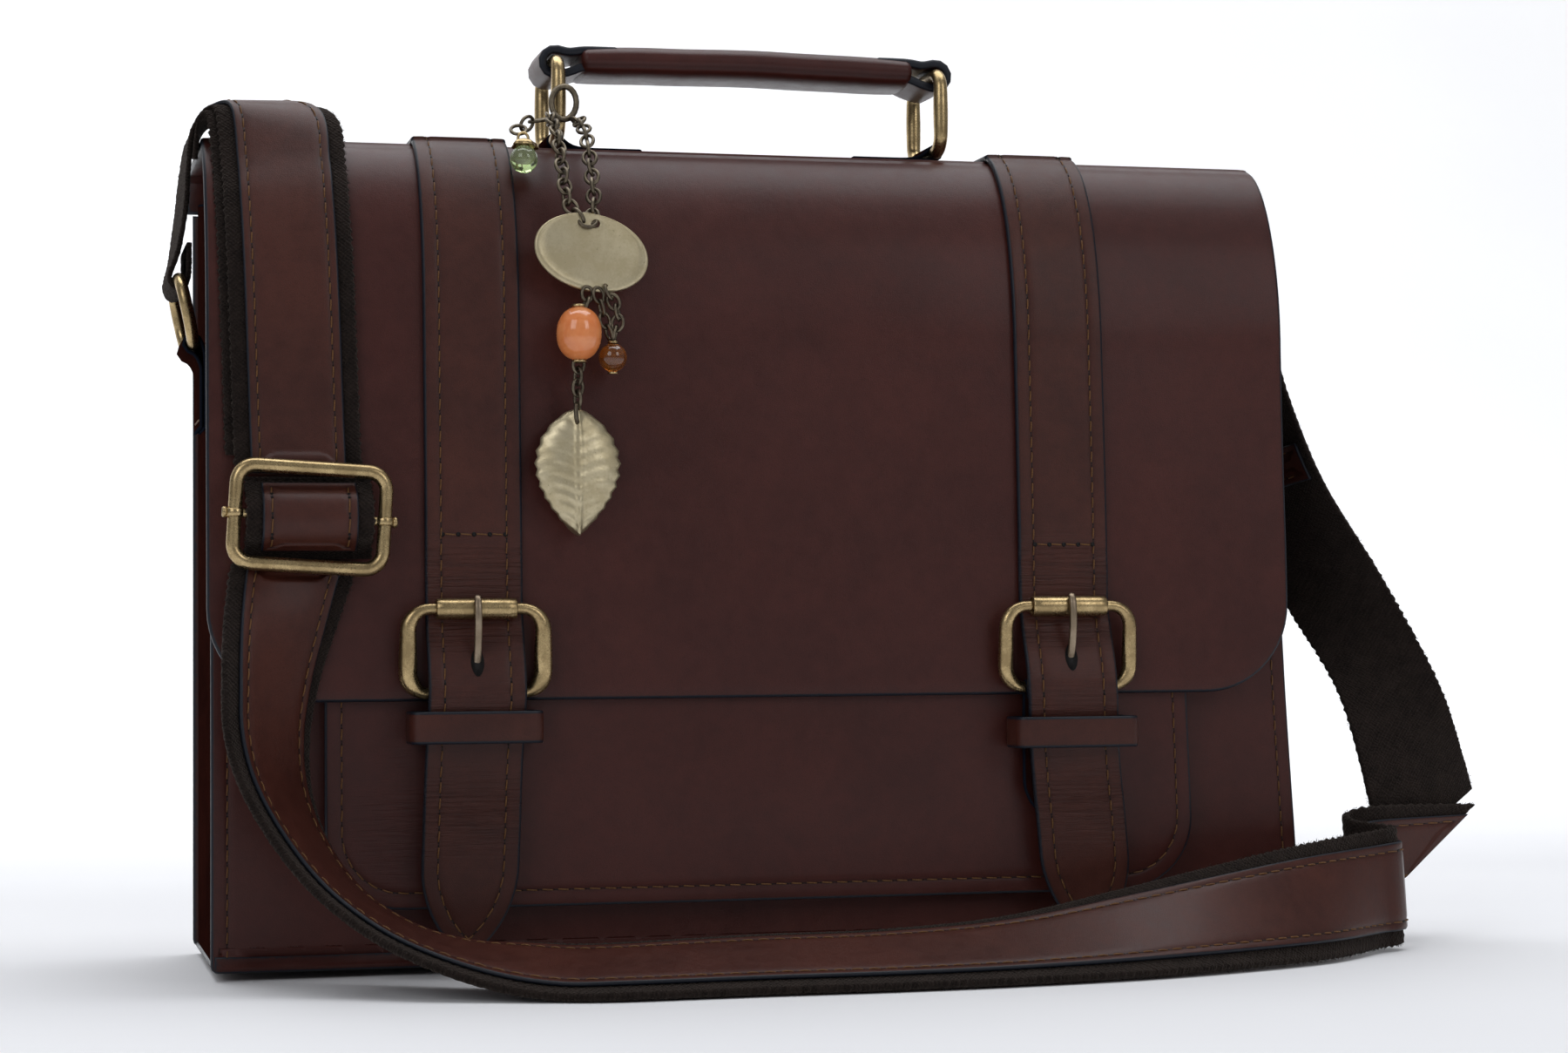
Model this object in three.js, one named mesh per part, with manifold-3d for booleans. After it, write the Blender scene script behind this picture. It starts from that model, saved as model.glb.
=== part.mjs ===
// A leather satchel: a stiff box body, a flap with two buckled straps, a ring-hung top handle,
// a webbing shoulder strap with a sliding adjuster, and a chain charm on the left handle ring.
// Millimetres. +X is the bag's right as seen from the front, +Y the back, +Z up.
// The origin is at the middle of the body's footprint, on the surface the bag stands on.
import * as THREE from "three";
import { mergeVertices } from "three/addons/utils/BufferGeometryUtils.js";
import Module from "manifold-3d";

const wasm = await Module();
wasm.setup();

// Driving dimensions of the body
const caseWidth = 370;
const caseDepth = 98;
const panelThickness = 2.4;
const layerGap = 0.3;
const frontTop = 236;
const backTop = 257.5;
const baseThickness = 2.2;
const flangeHeight = 8;
const gussetInset = 1.5;
const gussetThickness = 2;
const gussetFlange = 12;
const liningThickness = 0.8;
const liningTop = 230;

// Flap: a sheet that rises from the back panel, runs over the top and hangs down the front
const flapWidth = 366;
const flapShift = -4;
const flapThickness = 2.4;
const flapTop = 272.8;
const flapBottom = 88.5;
const flapCorner = 30;
const flapFrontBottomY = -61.7;
const flapFrontTopY = -58.8;
const flapCrownY = -26;
const flapShoulderZ = 205;
const flapRearY = 49;
const flapRearRadius = 12;
const flapStartZ = 258;

// Pocket on the front panel
const pocketLeft = -149.7;
const pocketRight = 144.1;
const pocketBottom = 21.7;
const pocketTop = 112;
const pocketCorner = 25;
const pocketFrontY = -57.7;
const pocketSheet = 2.2;
const pocketGussetInset = 3;
const pocketGussetSheet = 1.8;

// The two closing straps and their buckles
const strapX = [-102.5, 97];
const tongueLean = [-2.5, 9];
const strapWidth = 31.6;
const strapThickness = 2.2;
const strapRearY = 30;
const tipZ = 6;
const tipTaperZ = 34;
const prongHoleWidth = 4.6;
const prongHole = [90, 104.5];
const buckleWidth = 48;
const barRadius = 2.2;
const heelRadius = 1.8;
const heelY = -66.2;
const heelZ = 91;
const rollerY = -68.4;
const rollerZ = 118;
const rollerRadius = 3.3;
const rollerLength = 26;
const buckleCorner = 7;
const prongWidth = 3;
const tabWidth = 30;
const tabTop = 83;
const tabBottom = 46;
const tabSheet = 1.3;
const tabBackY = -61.1;
const tabFrontY = -62.9;
const keeperZ = [80, 76];
const keeperHeight = 10.3;
const keeperWidth = 40.5;
const keeperSheet = 1.6;
const keeperFrontY = -73.6;
const keeperBackY = -59;
const magnetZ = 60;
const magnetRadius = 8;
const magnetSheet = 1.1;

// Handle and its two rings
const ringX = 67.4;
const ringFrontY = -24.2;
const ringRearY = 9.5;
const ringBottomZ = 277.6;
const ringTopZ = 304.4;
const ringWire = 2.5;
const ringBend = 6;
const handleTabHalf = 10;
const handleTabReach = 30;
const handleTabSheet = 1.3;
const handleWidth = 24;
const handleSheet = 2.4;
const handleCore = [304.8, 307.6];
const gripHalf = 58.5;
const gripWidth = 29;
const gripTop = 311;
const gripBottom = 301;

// Shoulder strap
const webbingWidth = 40;
const webbingThickness = 1.6;
const trimWidth = 30;
const trimThickness = 1.5;
const strapLayerGap = 0.9;
const sideBarX = 188.6;
const sideBarZ = 206.5;
const sideRingWidth = 48;
const sideRingHeight = 22;
const sideRingWire = 2;
const sideRingBend = 9;
const sideRingLean = { left: 18 * Math.PI / 180, right: 6 * Math.PI / 180 };
const sideTabHalf = 17;
const sideTabDrop = 28;
const sideTabSheet = 1.2;
const sliderCentre = [-155.5, -72.2, 147];
const sliderTilt = 3.5 * Math.PI / 180;
const sliderWidth = 47;
const sliderHeight = 31;
const sliderWire = 2.2;
const sliderBend = 5.5;
const sliderBarRadius = 1.5;
const sliderBarLength = 55;

// Charm, hung in front of the flap from the left handle ring
const charmY = -67;
const chainWidth = 4;
const chainSheet = 2.4;
const tagCentre = [-64.6, -68.6, 233];
const tagHalfWidth = 19;
const tagHalfHeight = 12.6;
const tagSheet = 1.6;
const tagTilt = 12 * Math.PI / 180;
const roundBeadRadius = 4.6;
const leafTop = [-69.5, -69, 182.6];
const leafLength = 42;
const leafHalfWidth = 15.5;

const group = new THREE.Group();

const leather = new THREE.MeshStandardMaterial({ color: 0x4a2620, roughness: 0.42, metalness: 0 });
const darkLeather = new THREE.MeshStandardMaterial({ color: 0x35170f, roughness: 0.5, metalness: 0 });
const webbing = new THREE.MeshStandardMaterial({ color: 0x2c2520, roughness: 0.95, metalness: 0 });
const cloth = new THREE.MeshStandardMaterial({ color: 0x57463a, roughness: 0.95, metalness: 0 });
const brass = new THREE.MeshStandardMaterial({ color: 0xb09664, roughness: 0.32, metalness: 1 });
const darkBrass = new THREE.MeshStandardMaterial({ color: 0x4f4636, roughness: 0.45, metalness: 1 });
const orangeBead = new THREE.MeshStandardMaterial({ color: 0xd9753c, roughness: 0.15, metalness: 0 });
const amberBead = new THREE.MeshStandardMaterial({ color: 0x6a3a0c, roughness: 0.1, metalness: 0 });
const greenBead = new THREE.MeshStandardMaterial({ color: 0xa9c77a, roughness: 0.08, metalness: 0 });

function add(name, geometry, material, position = [0, 0, 0]) {
  const mesh = new THREE.Mesh(geometry, material);
  mesh.name = name;
  mesh.position.set(...position);
  group.add(mesh);
  return mesh;
}

// ---- solids ----

function toManifold(geometry) {
  const bare = geometry.clone();
  bare.deleteAttribute("normal");
  bare.deleteAttribute("uv");
  const merged = mergeVertices(bare, 1e-4);
  return new wasm.Manifold(new wasm.Mesh({
    numProp: 3,
    vertProperties: new Float32Array(merged.attributes.position.array),
    triVerts: new Uint32Array(merged.index.array),
  }));
}

function toGeometry(manifold) {
  const mesh = manifold.getMesh();
  const geometry = new THREE.BufferGeometry();
  geometry.setAttribute("position", new THREE.BufferAttribute(mesh.vertProperties, 3));
  geometry.setIndex(new THREE.BufferAttribute(mesh.triVerts, 1));
  geometry.computeVertexNormals();
  return geometry;
}

function cut(body, ...tools) {
  return toGeometry(tools.reduce((rest, tool) => rest.subtract(toManifold(tool)), toManifold(body)));
}

function join(...bodies) {
  return toGeometry(bodies.map(toManifold).reduce((whole, next) => whole.add(next)));
}

function common(a, b) {
  return toGeometry(toManifold(a).intersect(toManifold(b)));
}

function block(x0, x1, y0, y1, z0, z1) {
  const geometry = new THREE.BoxGeometry(x1 - x0, y1 - y0, z1 - z0);
  return geometry.translate((x0 + x1) / 2, (y0 + y1) / 2, (z0 + z1) / 2);
}

function extrude(shape, depth) {
  return new THREE.ExtrudeGeometry(shape, { depth, bevelEnabled: false, curveSegments: 8 });
}

// An outline drawn in (x, z), made solid from y0 to y1
function frontPlate(shape, y0, y1) {
  return extrude(shape, y1 - y0).rotateX(Math.PI / 2).translate(0, y1, 0);
}

// An outline drawn in (y, z), made solid from x0 to x1
function sidePlate(shape, x0, x1) {
  const turn = new THREE.Matrix4();
  turn.makeBasis(new THREE.Vector3(0, 1, 0), new THREE.Vector3(0, 0, 1), new THREE.Vector3(1, 0, 0));
  return extrude(shape, x1 - x0).applyMatrix4(turn).translate(x0, 0, 0);
}

// An outline drawn in (x, y), made solid from z0 to z1
function floorPlate(shape, z0, z1) {
  return extrude(shape, z1 - z0).translate(0, 0, z0);
}

function outline(points) {
  return new THREE.Shape(points.map(([a, b]) => new THREE.Vector2(a, b)));
}

// A rectangle whose lower two corners are rounded
function pouchOutline(left, right, bottom, top, radius) {
  const shape = new THREE.Shape();
  shape.moveTo(left, top);
  shape.lineTo(left, bottom + radius);
  shape.absarc(left + radius, bottom + radius, radius, Math.PI, Math.PI * 1.5, false);
  shape.absarc(right - radius, bottom + radius, radius, -Math.PI / 2, 0, false);
  shape.lineTo(right, top);
  shape.closePath();
  return shape;
}

// The centre line of a rectangle with four rounded corners, as points in (a, b)
function roundedLoop(halfA, halfB, radius, perCorner) {
  const points = [];
  const corners = [[1, 1, 0], [-1, 1, 1], [-1, -1, 2], [1, -1, 3]];
  for (const [signA, signB, quarter] of corners) {
    for (let step = 0; step <= perCorner; step++) {
      const angle = (quarter + step / perCorner) * Math.PI / 2;
      const a = signA * (halfA - radius) + radius * Math.cos(angle);
      const b = signB * (halfB - radius) + radius * Math.sin(angle);
      points.push([a, b]);
    }
  }
  return points;
}

function closedSolid(positions, triangles) {
  const geometry = new THREE.BufferGeometry();
  geometry.setAttribute("position", new THREE.Float32BufferAttribute(positions.flat(), 3));
  geometry.setIndex(triangles.flat());
  geometry.computeVertexNormals();
  return geometry;
}

// A round wire bent along a closed flat loop in (a, b); the third axis stays normal to the loop
function wireLoop(points, radius, sides) {
  const count = points.length;
  const positions = [];
  const triangles = [];
  for (let i = 0; i < count; i++) {
    const [a0, b0] = points[(i + count - 1) % count];
    const [a1, b1] = points[(i + 1) % count];
    const length = Math.hypot(a1 - a0, b1 - b0);
    const outA = (b1 - b0) / length;
    const outB = -(a1 - a0) / length;
    for (let s = 0; s < sides; s++) {
      const angle = s / sides * Math.PI * 2;
      const reach = radius * Math.cos(angle);
      positions.push([points[i][0] + outA * reach, points[i][1] + outB * reach, radius * Math.sin(angle)]);
      const next = (i + 1) % count;
      const a = i * sides + s;
      const b = i * sides + (s + 1) % sides;
      const c = next * sides + (s + 1) % sides;
      const d = next * sides + s;
      triangles.push([a, c, b], [a, d, c]);
    }
  }
  return closedSolid(positions, triangles);
}

function tube(inner, outer, length, sides) {
  const profile = [[inner, -length / 2], [outer, -length / 2], [outer, length / 2], [inner, length / 2]];
  const points = profile.concat([profile[0]]).map(([r, h]) => new THREE.Vector2(r, h));
  return new THREE.LatheGeometry(points, sides).rotateZ(Math.PI / 2);
}

// A flat band: at every station two edge points and the thickness measured along the surface normal,
// negative on the normal's other side. offset lifts the band off the line between its edges, and
// inset narrows it at both edges.
function band(stations, thickness, offset = 0, inset = 0) {
  const edges = stations.map(([a, b]) => {
    const left = new THREE.Vector3(...a);
    const right = new THREE.Vector3(...b);
    const across = right.clone().sub(left).normalize();
    left.addScaledVector(across, inset);
    right.addScaledVector(across, -inset);
    return { left, right, across };
  });
  const middle = edges.map((edge) => edge.left.clone().add(edge.right).multiplyScalar(0.5));
  const positions = [];
  for (let i = 0; i < edges.length; i++) {
    const before = middle[Math.max(i - 1, 0)];
    const after = middle[Math.min(i + 1, edges.length - 1)];
    const along = after.clone().sub(before).normalize();
    const normal = edges[i].across.clone().cross(along).normalize();
    for (const [edge, height] of [["left", 0], ["right", 0], ["right", 1], ["left", 1]]) {
      const point = edges[i][edge].clone().addScaledVector(normal, offset + height * thickness);
      positions.push(point.toArray());
    }
  }
  const triangles = [[0, 1, 2], [0, 2, 3]];
  for (let i = 0; i < edges.length - 1; i++) {
    for (let s = 0; s < 4; s++) {
      const a = i * 4 + s;
      const b = i * 4 + (s + 1) % 4;
      triangles.push([a, a + 4, b + 4], [a, b + 4, b]);
    }
  }
  const last = (edges.length - 1) * 4;
  triangles.push([last, last + 2, last + 1], [last, last + 3, last + 2]);
  const outward = thickness > 0 ? triangles : triangles.map(([a, b, c]) => [a, c, b]);
  return closedSolid(positions, outward);
}

// ---- body ----

const halfWidth = caseWidth / 2;
const frontY = -caseDepth / 2;
const backY = caseDepth / 2;
const panelBottom = baseThickness + layerGap;

function buildBody() {
  const front = block(-halfWidth, halfWidth, frontY, frontY + panelThickness, panelBottom, frontTop);
  add("front_panel", front, leather);
  const back = block(-halfWidth, halfWidth, backY - panelThickness, backY, panelBottom, backTop);
  add("back_panel", back, leather);
  const out = baseThickness + layerGap;
  const base = outline([
    [frontY - out, 0], [backY + out, 0], [backY + out, flangeHeight], [backY + layerGap, flangeHeight],
    [backY + layerGap, baseThickness], [frontY - layerGap, baseThickness],
    [frontY - layerGap, flangeHeight], [frontY - out, flangeHeight],
  ]);
  add("base_panel", sidePlate(base, -halfWidth + 1, halfWidth - 1), leather);

  const innerFront = frontY + panelThickness + layerGap;
  const innerBack = backY - panelThickness - layerGap;
  const wall = halfWidth - gussetInset;
  const section = [
    [wall, innerFront], [wall, innerBack], [wall - gussetFlange, innerBack],
    [wall - gussetFlange, innerBack - gussetThickness],
    [wall - gussetThickness, innerBack - gussetThickness],
    [wall - gussetThickness, innerFront + gussetThickness],
    [wall - gussetFlange, innerFront + gussetThickness],
    [wall - gussetFlange, innerFront],
  ];
  const slopedTop = outline([
    [innerFront - 1, 0], [innerBack + 1, 0],
    [innerBack + 1, backTop - 1.5], [innerFront - 1, frontTop + 1.5],
  ]);
  const mirrored = section.map(([x, y]) => [-x, y]).reverse();
  for (const [side, corners] of [["left", mirrored], ["right", section]]) {
    const channel = floorPlate(outline(corners), panelBottom, backTop);
    add(`gusset_${side}`, common(channel, sidePlate(slopedTop, -halfWidth, halfWidth)), leather);
  }

  const liningX = wall - gussetFlange - layerGap;
  const liningY = innerBack - gussetThickness - layerGap;
  const liningFloor = panelBottom + layerGap;
  const outside = block(-liningX, liningX, -liningY, liningY, liningFloor, liningTop);
  const inside = block(
    -liningX + liningThickness, liningX - liningThickness,
    -liningY + liningThickness, liningY - liningThickness, liningFloor + liningThickness, liningTop + 1,
  );
  add("lining", cut(outside, inside), cloth);
}

// ---- pocket ----

function buildPocket() {
  const face = pouchOutline(pocketLeft, pocketRight, pocketBottom, pocketTop, pocketCorner);
  add("pocket_front", frontPlate(face, pocketFrontY, pocketFrontY + pocketSheet), leather);
  const outer = pouchOutline(
    pocketLeft + pocketGussetInset, pocketRight - pocketGussetInset, pocketBottom + pocketGussetInset,
    pocketTop - 4, pocketCorner - pocketGussetInset,
  );
  const innerInset = pocketGussetInset + pocketGussetSheet;
  const inner = pouchOutline(
    pocketLeft + innerInset, pocketRight - innerInset, pocketBottom + innerInset,
    pocketTop + 4, pocketCorner - innerInset,
  );
  const y0 = pocketFrontY + pocketSheet + layerGap;
  const y1 = frontY - layerGap;
  add("pocket_gusset", cut(frontPlate(outer, y0, y1), frontPlate(inner, y0 - 1, y1 + 1)), darkLeather);
}

// ---- flap ----

// The outer line of the flap in (y, z), from its rear lower edge over the top to its front lower edge,
// drawn inward by the given distance
function flapLine(inward) {
  const points = [[flapRearY - inward, flapStartZ]];
  for (let step = 0; step <= 4; step++) {
    const angle = step / 4 * Math.PI / 2;
    const radius = flapRearRadius - inward;
    points.push([
      flapRearY - flapRearRadius + radius * Math.cos(angle),
      flapTop - flapRearRadius + radius * Math.sin(angle),
    ]);
  }
  const halfRise = flapTop - flapShoulderZ;
  const reach = flapCrownY - flapFrontTopY;
  for (let step = 0; step <= 12; step++) {
    const angle = step / 12 * Math.PI / 2;
    points.push([
      flapCrownY - (reach - inward) * Math.sin(angle),
      flapShoulderZ + (halfRise - inward) * Math.cos(angle),
    ]);
  }
  points.push([flapFrontBottomY + inward, 120]);
  points.push([flapFrontBottomY + inward, flapBottom]);
  return points;
}

const flapLeft = flapShift - flapWidth / 2;
const flapRight = flapShift + flapWidth / 2;

function buildFlap() {
  const section = outline(flapLine(0).concat(flapLine(flapThickness).reverse()));
  const sheet = sidePlate(section, flapLeft, flapRight);
  const cutter = pouchOutline(flapLeft, flapRight, flapBottom, 300, flapCorner);
  add("flap_panel", common(sheet, frontPlate(cutter, -80, 80)), leather);
}

// ---- closing straps, buckles, keepers, tabs and magnets ----

// The route of the free end's inner face in (y, z): over the heel bar, through the keeper, down to the tip
function tongueRoute() {
  const overHeel = heelY - heelRadius - 2.5;
  return [
    [overHeel, heelZ + 1.5], [overHeel + 0.2, heelZ - 2], [-69, 84], [-67, 77], [-65, 68], [-64.2, 56],
    [-63.6, 40], [-63, 33], [-62.6, 27], [-62.3, 21], [-62, 15], [-61.8, 10], [-61.6, tipZ],
  ];
}

function strapRoute() {
  const overFlap = flapLine(-layerGap).filter(([y, z]) => z > 100 && y < strapRearY);
  return [[strapRearY, flapTop + layerGap]].concat(overFlap);
}

function buildClosure(side, index) {
  const x = strapX[index];
  const lean = tongueLean[index];
  const half = strapWidth / 2;
  const route = strapRoute().concat(tongueRoute());
  const stations = route.map(([y, z]) => {
    const down = Math.max(0, (heelZ - z) / (heelZ - tipZ));
    const pastTaper = Math.max(0, tipTaperZ - z) / (tipTaperZ - tipZ + 1);
    const taper = Math.sqrt(Math.max(0.02, 1 - pastTaper ** 2));
    const middle = x + lean * down;
    return [[middle - half * taper, y, z], [middle + half * taper, y, z]];
  });
  const strap = band(stations, -strapThickness);
  const hole = block(x - prongHoleWidth / 2, x + prongHoleWidth / 2, -80, -60, ...prongHole);
  add(`closing_strap_${side}`, cut(strap, hole), leather);

  const tilt = Math.atan2(rollerY - heelY, rollerZ - heelZ);
  const middleY = (rollerY + heelY) / 2;
  const middleZ = (rollerZ + heelZ) / 2;
  const halfHigh = Math.hypot(rollerY - heelY, rollerZ - heelZ) / 2;
  const loop = roundedLoop(buckleWidth / 2 - barRadius, halfHigh, buckleCorner, 4);
  const upright = wireLoop(loop, barRadius, 10).rotateX(Math.PI / 2);
  add(`buckle_frame_${side}`, upright.rotateX(-tilt).translate(x, middleY, middleZ), brass);
  const roller = tube(barRadius + 0.35, rollerRadius, rollerLength, 16);
  add(`buckle_roller_${side}`, roller, brass, [x, rollerY, rollerZ]);

  const hub = tube(heelRadius + 0.75, heelRadius + 1.5, prongWidth, 12).translate(x, heelY, heelZ);
  const blade = outline([
    [heelY - 2.4, heelZ + 1], [heelY - 3.4, heelZ + 1.6], [rollerY - 5.3, rollerZ - 3.2],
    [rollerY - 5.5, rollerZ + 1.4], [rollerY - 3.9, rollerZ + 1.6], [rollerY - 3.9, rollerZ - 3],
    [rollerY - 1.6, rollerZ - 9],
  ]);
  const prong = join(hub, sidePlate(blade, x - prongWidth / 2, x + prongWidth / 2));
  add(`buckle_prong_${side}`, prong, brass);

  buildTab(side, x);
  const keeperDown = (heelZ - keeperZ[index]) / (heelZ - tipZ);
  buildKeeper(side, x + lean * keeperDown, keeperZ[index]);
  const disc = new THREE.CylinderGeometry(magnetRadius, magnetRadius, magnetSheet, 20);
  const halfDisc = magnetSheet / 2;
  add(`magnet_stud_${side}`, disc, brass, [x, tabBackY + layerGap + halfDisc, magnetZ]);
  add(`magnet_socket_${side}`, disc.clone(), brass, [x, pocketFrontY - layerGap - halfDisc, magnetZ]);
}

// The leather tab that loops round the heel bar and carries the magnet's stud behind the strap
function buildTab(side, x) {
  const inner = heelRadius + 0.75;
  const outer = inner + tabSheet;
  const back = [];
  const front = [];
  for (let step = 0; step <= 8; step++) {
    const angle = step / 8 * Math.PI;
    back.push([heelY + outer * Math.cos(angle), heelZ + outer * Math.sin(angle)]);
    front.push([heelY + inner * Math.cos(angle), heelZ + inner * Math.sin(angle)]);
  }
  const hook = outline([
    [tabBackY, tabTop - 1], ...back, [heelY - outer, heelZ - 3], [heelY - inner, heelZ - 3],
    ...front.reverse(), [tabFrontY + 0.1, tabTop - 1],
  ]);
  const plate = pouchOutline(x - tabWidth / 2, x + tabWidth / 2, tabBottom, tabTop, tabWidth / 2 - 1);
  const body = frontPlate(plate, tabFrontY, tabBackY);
  const slot = block(x - prongWidth / 2 - 0.8, x + prongWidth / 2 + 0.8, -75, -55, heelZ - 5, heelZ + 8);
  const looped = cut(sidePlate(hook, x - tabWidth / 2, x + tabWidth / 2), slot);
  add(`buckle_tab_${side}`, join(body, looped), darkLeather);
}

// A flat leather loop round the strap and the tab behind it
function buildKeeper(side, x, z) {
  const z0 = z - keeperHeight / 2;
  const z1 = z + keeperHeight / 2;
  const outer = block(x - keeperWidth / 2, x + keeperWidth / 2, keeperFrontY, keeperBackY, z0, z1);
  const half = keeperWidth / 2 - keeperSheet;
  const innerFront = keeperFrontY + keeperSheet;
  const inner = block(x - half, x + half, innerFront, keeperBackY - keeperSheet, z0 - 1, z1 + 1);
  add(`keeper_${side}`, cut(outer, inner), leather);
}

// ---- handle ----

function buildHandle() {
  const middleY = (ringFrontY + ringRearY) / 2;
  const middleZ = (ringBottomZ + ringTopZ) / 2;
  const loop = roundedLoop((ringRearY - ringFrontY) / 2, (ringTopZ - ringBottomZ) / 2, ringBend, 5);
  for (const [side, sign] of [["left", -1], ["right", 1]]) {
    const ring = wireLoop(loop, ringWire, 10).rotateX(Math.PI / 2).rotateZ(Math.PI / 2);
    add(`handle_ring_${side}`, ring, brass, [sign * ringX, middleY, middleZ]);
    buildHandleTab(side, sign, middleY);
  }
  buildGrip(middleY);
}

// A strip wrapped round the ring's bottom bar, its two ends sewn to the flap's top
function buildHandleTab(side, sign, middleY) {
  const inner = ringWire + 0.4;
  const outer = inner + handleTabSheet;
  const seat = flapTop + layerGap;
  const shape = new THREE.Shape();
  shape.absarc(0, ringBottomZ, outer, Math.PI * 1.25, Math.PI * 0.25, true);
  shape.lineTo(6, seat + 1.7 * handleTabSheet);
  shape.lineTo(handleTabReach, seat + 1.2 * handleTabSheet);
  shape.lineTo(handleTabReach, seat);
  shape.lineTo(-1, seat);
  shape.closePath();
  const body = frontPlate(shape, middleY - handleTabHalf, middleY + handleTabHalf);
  const bore = new THREE.CylinderGeometry(inner, inner, 60, 16).translate(0, middleY, ringBottomZ);
  const tab = cut(body, bore);
  const placed = sign > 0 ? tab.rotateZ(Math.PI).translate(0, 2 * middleY, 0) : tab;
  add(`handle_tab_${side}`, placed, darkLeather, [sign * ringX, 0, 0]);
}

// The handle strap's looped ends, and the wrapped grip between them
function buildGrip(middleY) {
  const inner = ringWire + 0.5;
  const outer = inner + handleSheet;
  const shape = new THREE.Shape();
  shape.moveTo(-ringX, ringTopZ + outer);
  shape.absarc(-ringX, ringTopZ, outer, Math.PI / 2, Math.PI * 1.5, false);
  shape.lineTo(-gripHalf - 1, ringTopZ - 1.5);
  shape.lineTo(gripHalf + 1, ringTopZ - 1.5);
  shape.lineTo(ringX, ringTopZ - outer);
  shape.absarc(ringX, ringTopZ, outer, -Math.PI / 2, Math.PI / 2, false);
  shape.closePath();
  const strip = frontPlate(shape, middleY - handleWidth / 2, middleY + handleWidth / 2);
  const bores = [-ringX, ringX].map((x) => {
    return new THREE.CylinderGeometry(inner, inner, 60, 16).translate(x, middleY, ringTopZ);
  });
  const [coreBottom, coreTop] = handleCore;
  const reach = gripHalf + layerGap;
  const above = block(-reach, reach, -60, 60, coreTop, gripTop + 1);
  const below = block(-reach, reach, -60, 60, gripBottom - 3, coreBottom);
  add("handle_strap", cut(strip, ...bores, above, below), darkLeather);

  const section = new THREE.Shape();
  const halfGrip = gripWidth / 2;
  const bend = (gripTop - gripBottom) / 2;
  section.absarc(middleY + halfGrip - bend, gripBottom + bend, bend, -Math.PI / 2, Math.PI / 2, false);
  section.absarc(middleY - halfGrip + bend, gripBottom + bend, bend, Math.PI / 2, Math.PI * 1.5, false);
  section.closePath();
  const core = block(
    -gripHalf - 2, gripHalf + 2, middleY - handleWidth / 2 - layerGap, middleY + handleWidth / 2 + layerGap,
    coreBottom - layerGap, coreTop + layerGap,
  );
  add("handle_grip", cut(sidePlate(section, -gripHalf, gripHalf), core), leather);
}

// ---- shoulder strap ----

// Each stretch is a list of stations, and a station is the webbing's two edges, first the one that
// faces the bag's left or the floor. The leather trim lies on the outer face of the webbing.
const sideStations = [
  [[-195, -18, 232], [-195, 22, 232]], [[-194.5, -20, 246], [-194.5, 20, 248]],
  [[-194.5, -24, 258], [-193.5, 17, 262]], [[-194.5, -27, 267], [-190.5, 13, 276]],
  [[-193.5, -30, 275.5], [-178, 7, 284]], [[-189, -34, 280], [-161, -8, 285]],
  [[-183.5, -38.5, 279.5], [-144, -33, 280.5]],
];
const windowStations = [
  [-64.8, 160], [-65, 158], [-68.2, 154.5], [-73, 151.5], [-74.4, 147], [-73, 142.5], [-68.2, 139.5],
  [-65.6, 136], [-65.4, 134],
].map(([y, z]) => [[-175.6, y, z], [-175.6 + webbingWidth, y, z]]);
const lowerStations = [
  [[-179.5, -65.6, 132.6], [-139.5, -65, 132.6]], [[-181, -69, 127], [-141.6, -63.6, 126.4]],
  [[-183.2, -79, 112], [-147, -62.9, 111]], [[-184, -88, 95], [-152.5, -62.9, 95]],
  [[-183.6, -92, 80], [-155.6, -62.5, 78]], [[-179.5, -93.5, 65], [-155, -61, 60]],
  [[-171, -96, 49], [-149.5, -63, 43]], [[-159, -103, 33], [-138, -69.5, 26.5]],
  [[-144.5, -113, 20.5], [-122.5, -80.5, 16.5]], [[-129.5, -123.5, 12], [-106, -91.5, 12.5]],
  [[-109.5, -132.5, 4.6], [-90, -98.5, 12.8]], [[-90, -140, 1.2], [-76, -103.5, 12.5]],
];
const floorStations = [
  [[-89.4, -140.2, 1.2], [-75.4, -103.7, 12.5]], [[-69.5, -145, 1.2], [-60, -107.5, 13]],
  [[-26, -144, 1.2], [-20, -106, 14]], [[17, -144.5, 1.2], [19, -107, 14.5]],
  [[62.6, -141, 1.2], [61, -105.5, 17.5]], [[112.5, -131, 1.2], [105, -100, 25.5]],
  [[170, -107, 1.2], [160.5, -90, 36]], [[203, -77.5, 1.4], [200, -74, 40.5]],
  [[211, -73, 1.6], [209, -71, 41.5]], [[215.5, -67.5, 2], [213.5, -67, 42]],
  [[211, -62, 3], [209, -62, 43]], [[205, -58.5, 4], [203, -58.5, 44]],
  [[206, -51.5, 6], [203.5, -51.5, 46]], [[212, -49, 10], [217, -48, 48]],
  [[222, -46, 19], [262, -31, 47]],
];
const riseStations = [
  [[220.5, -40.5, 25], [262, -25.5, 52]], [[218, -36, 47], [258, -27, 65]],
  [[213, -24, 86], [249, -30, 90]], [[204.5, 1, 122], [231, -28, 128]],
  [[199, 14, 158], [212, -23.5, 164]], [[197.5, 20, 194], [200.5, -20, 196]],
];

// The stations of a stretch joined by smooth edges, with the given number of steps between two of them
function smooth(stations, steps) {
  const [first, second] = [0, 1].map((side) => {
    return new THREE.CatmullRomCurve3(stations.map((pair) => new THREE.Vector3(...pair[side])));
  });
  const count = (stations.length - 1) * steps;
  return Array.from({ length: count + 1 }, (_, i) => {
    return [first.getPoint(i / count).toArray(), second.getPoint(i / count).toArray()];
  });
}

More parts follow.
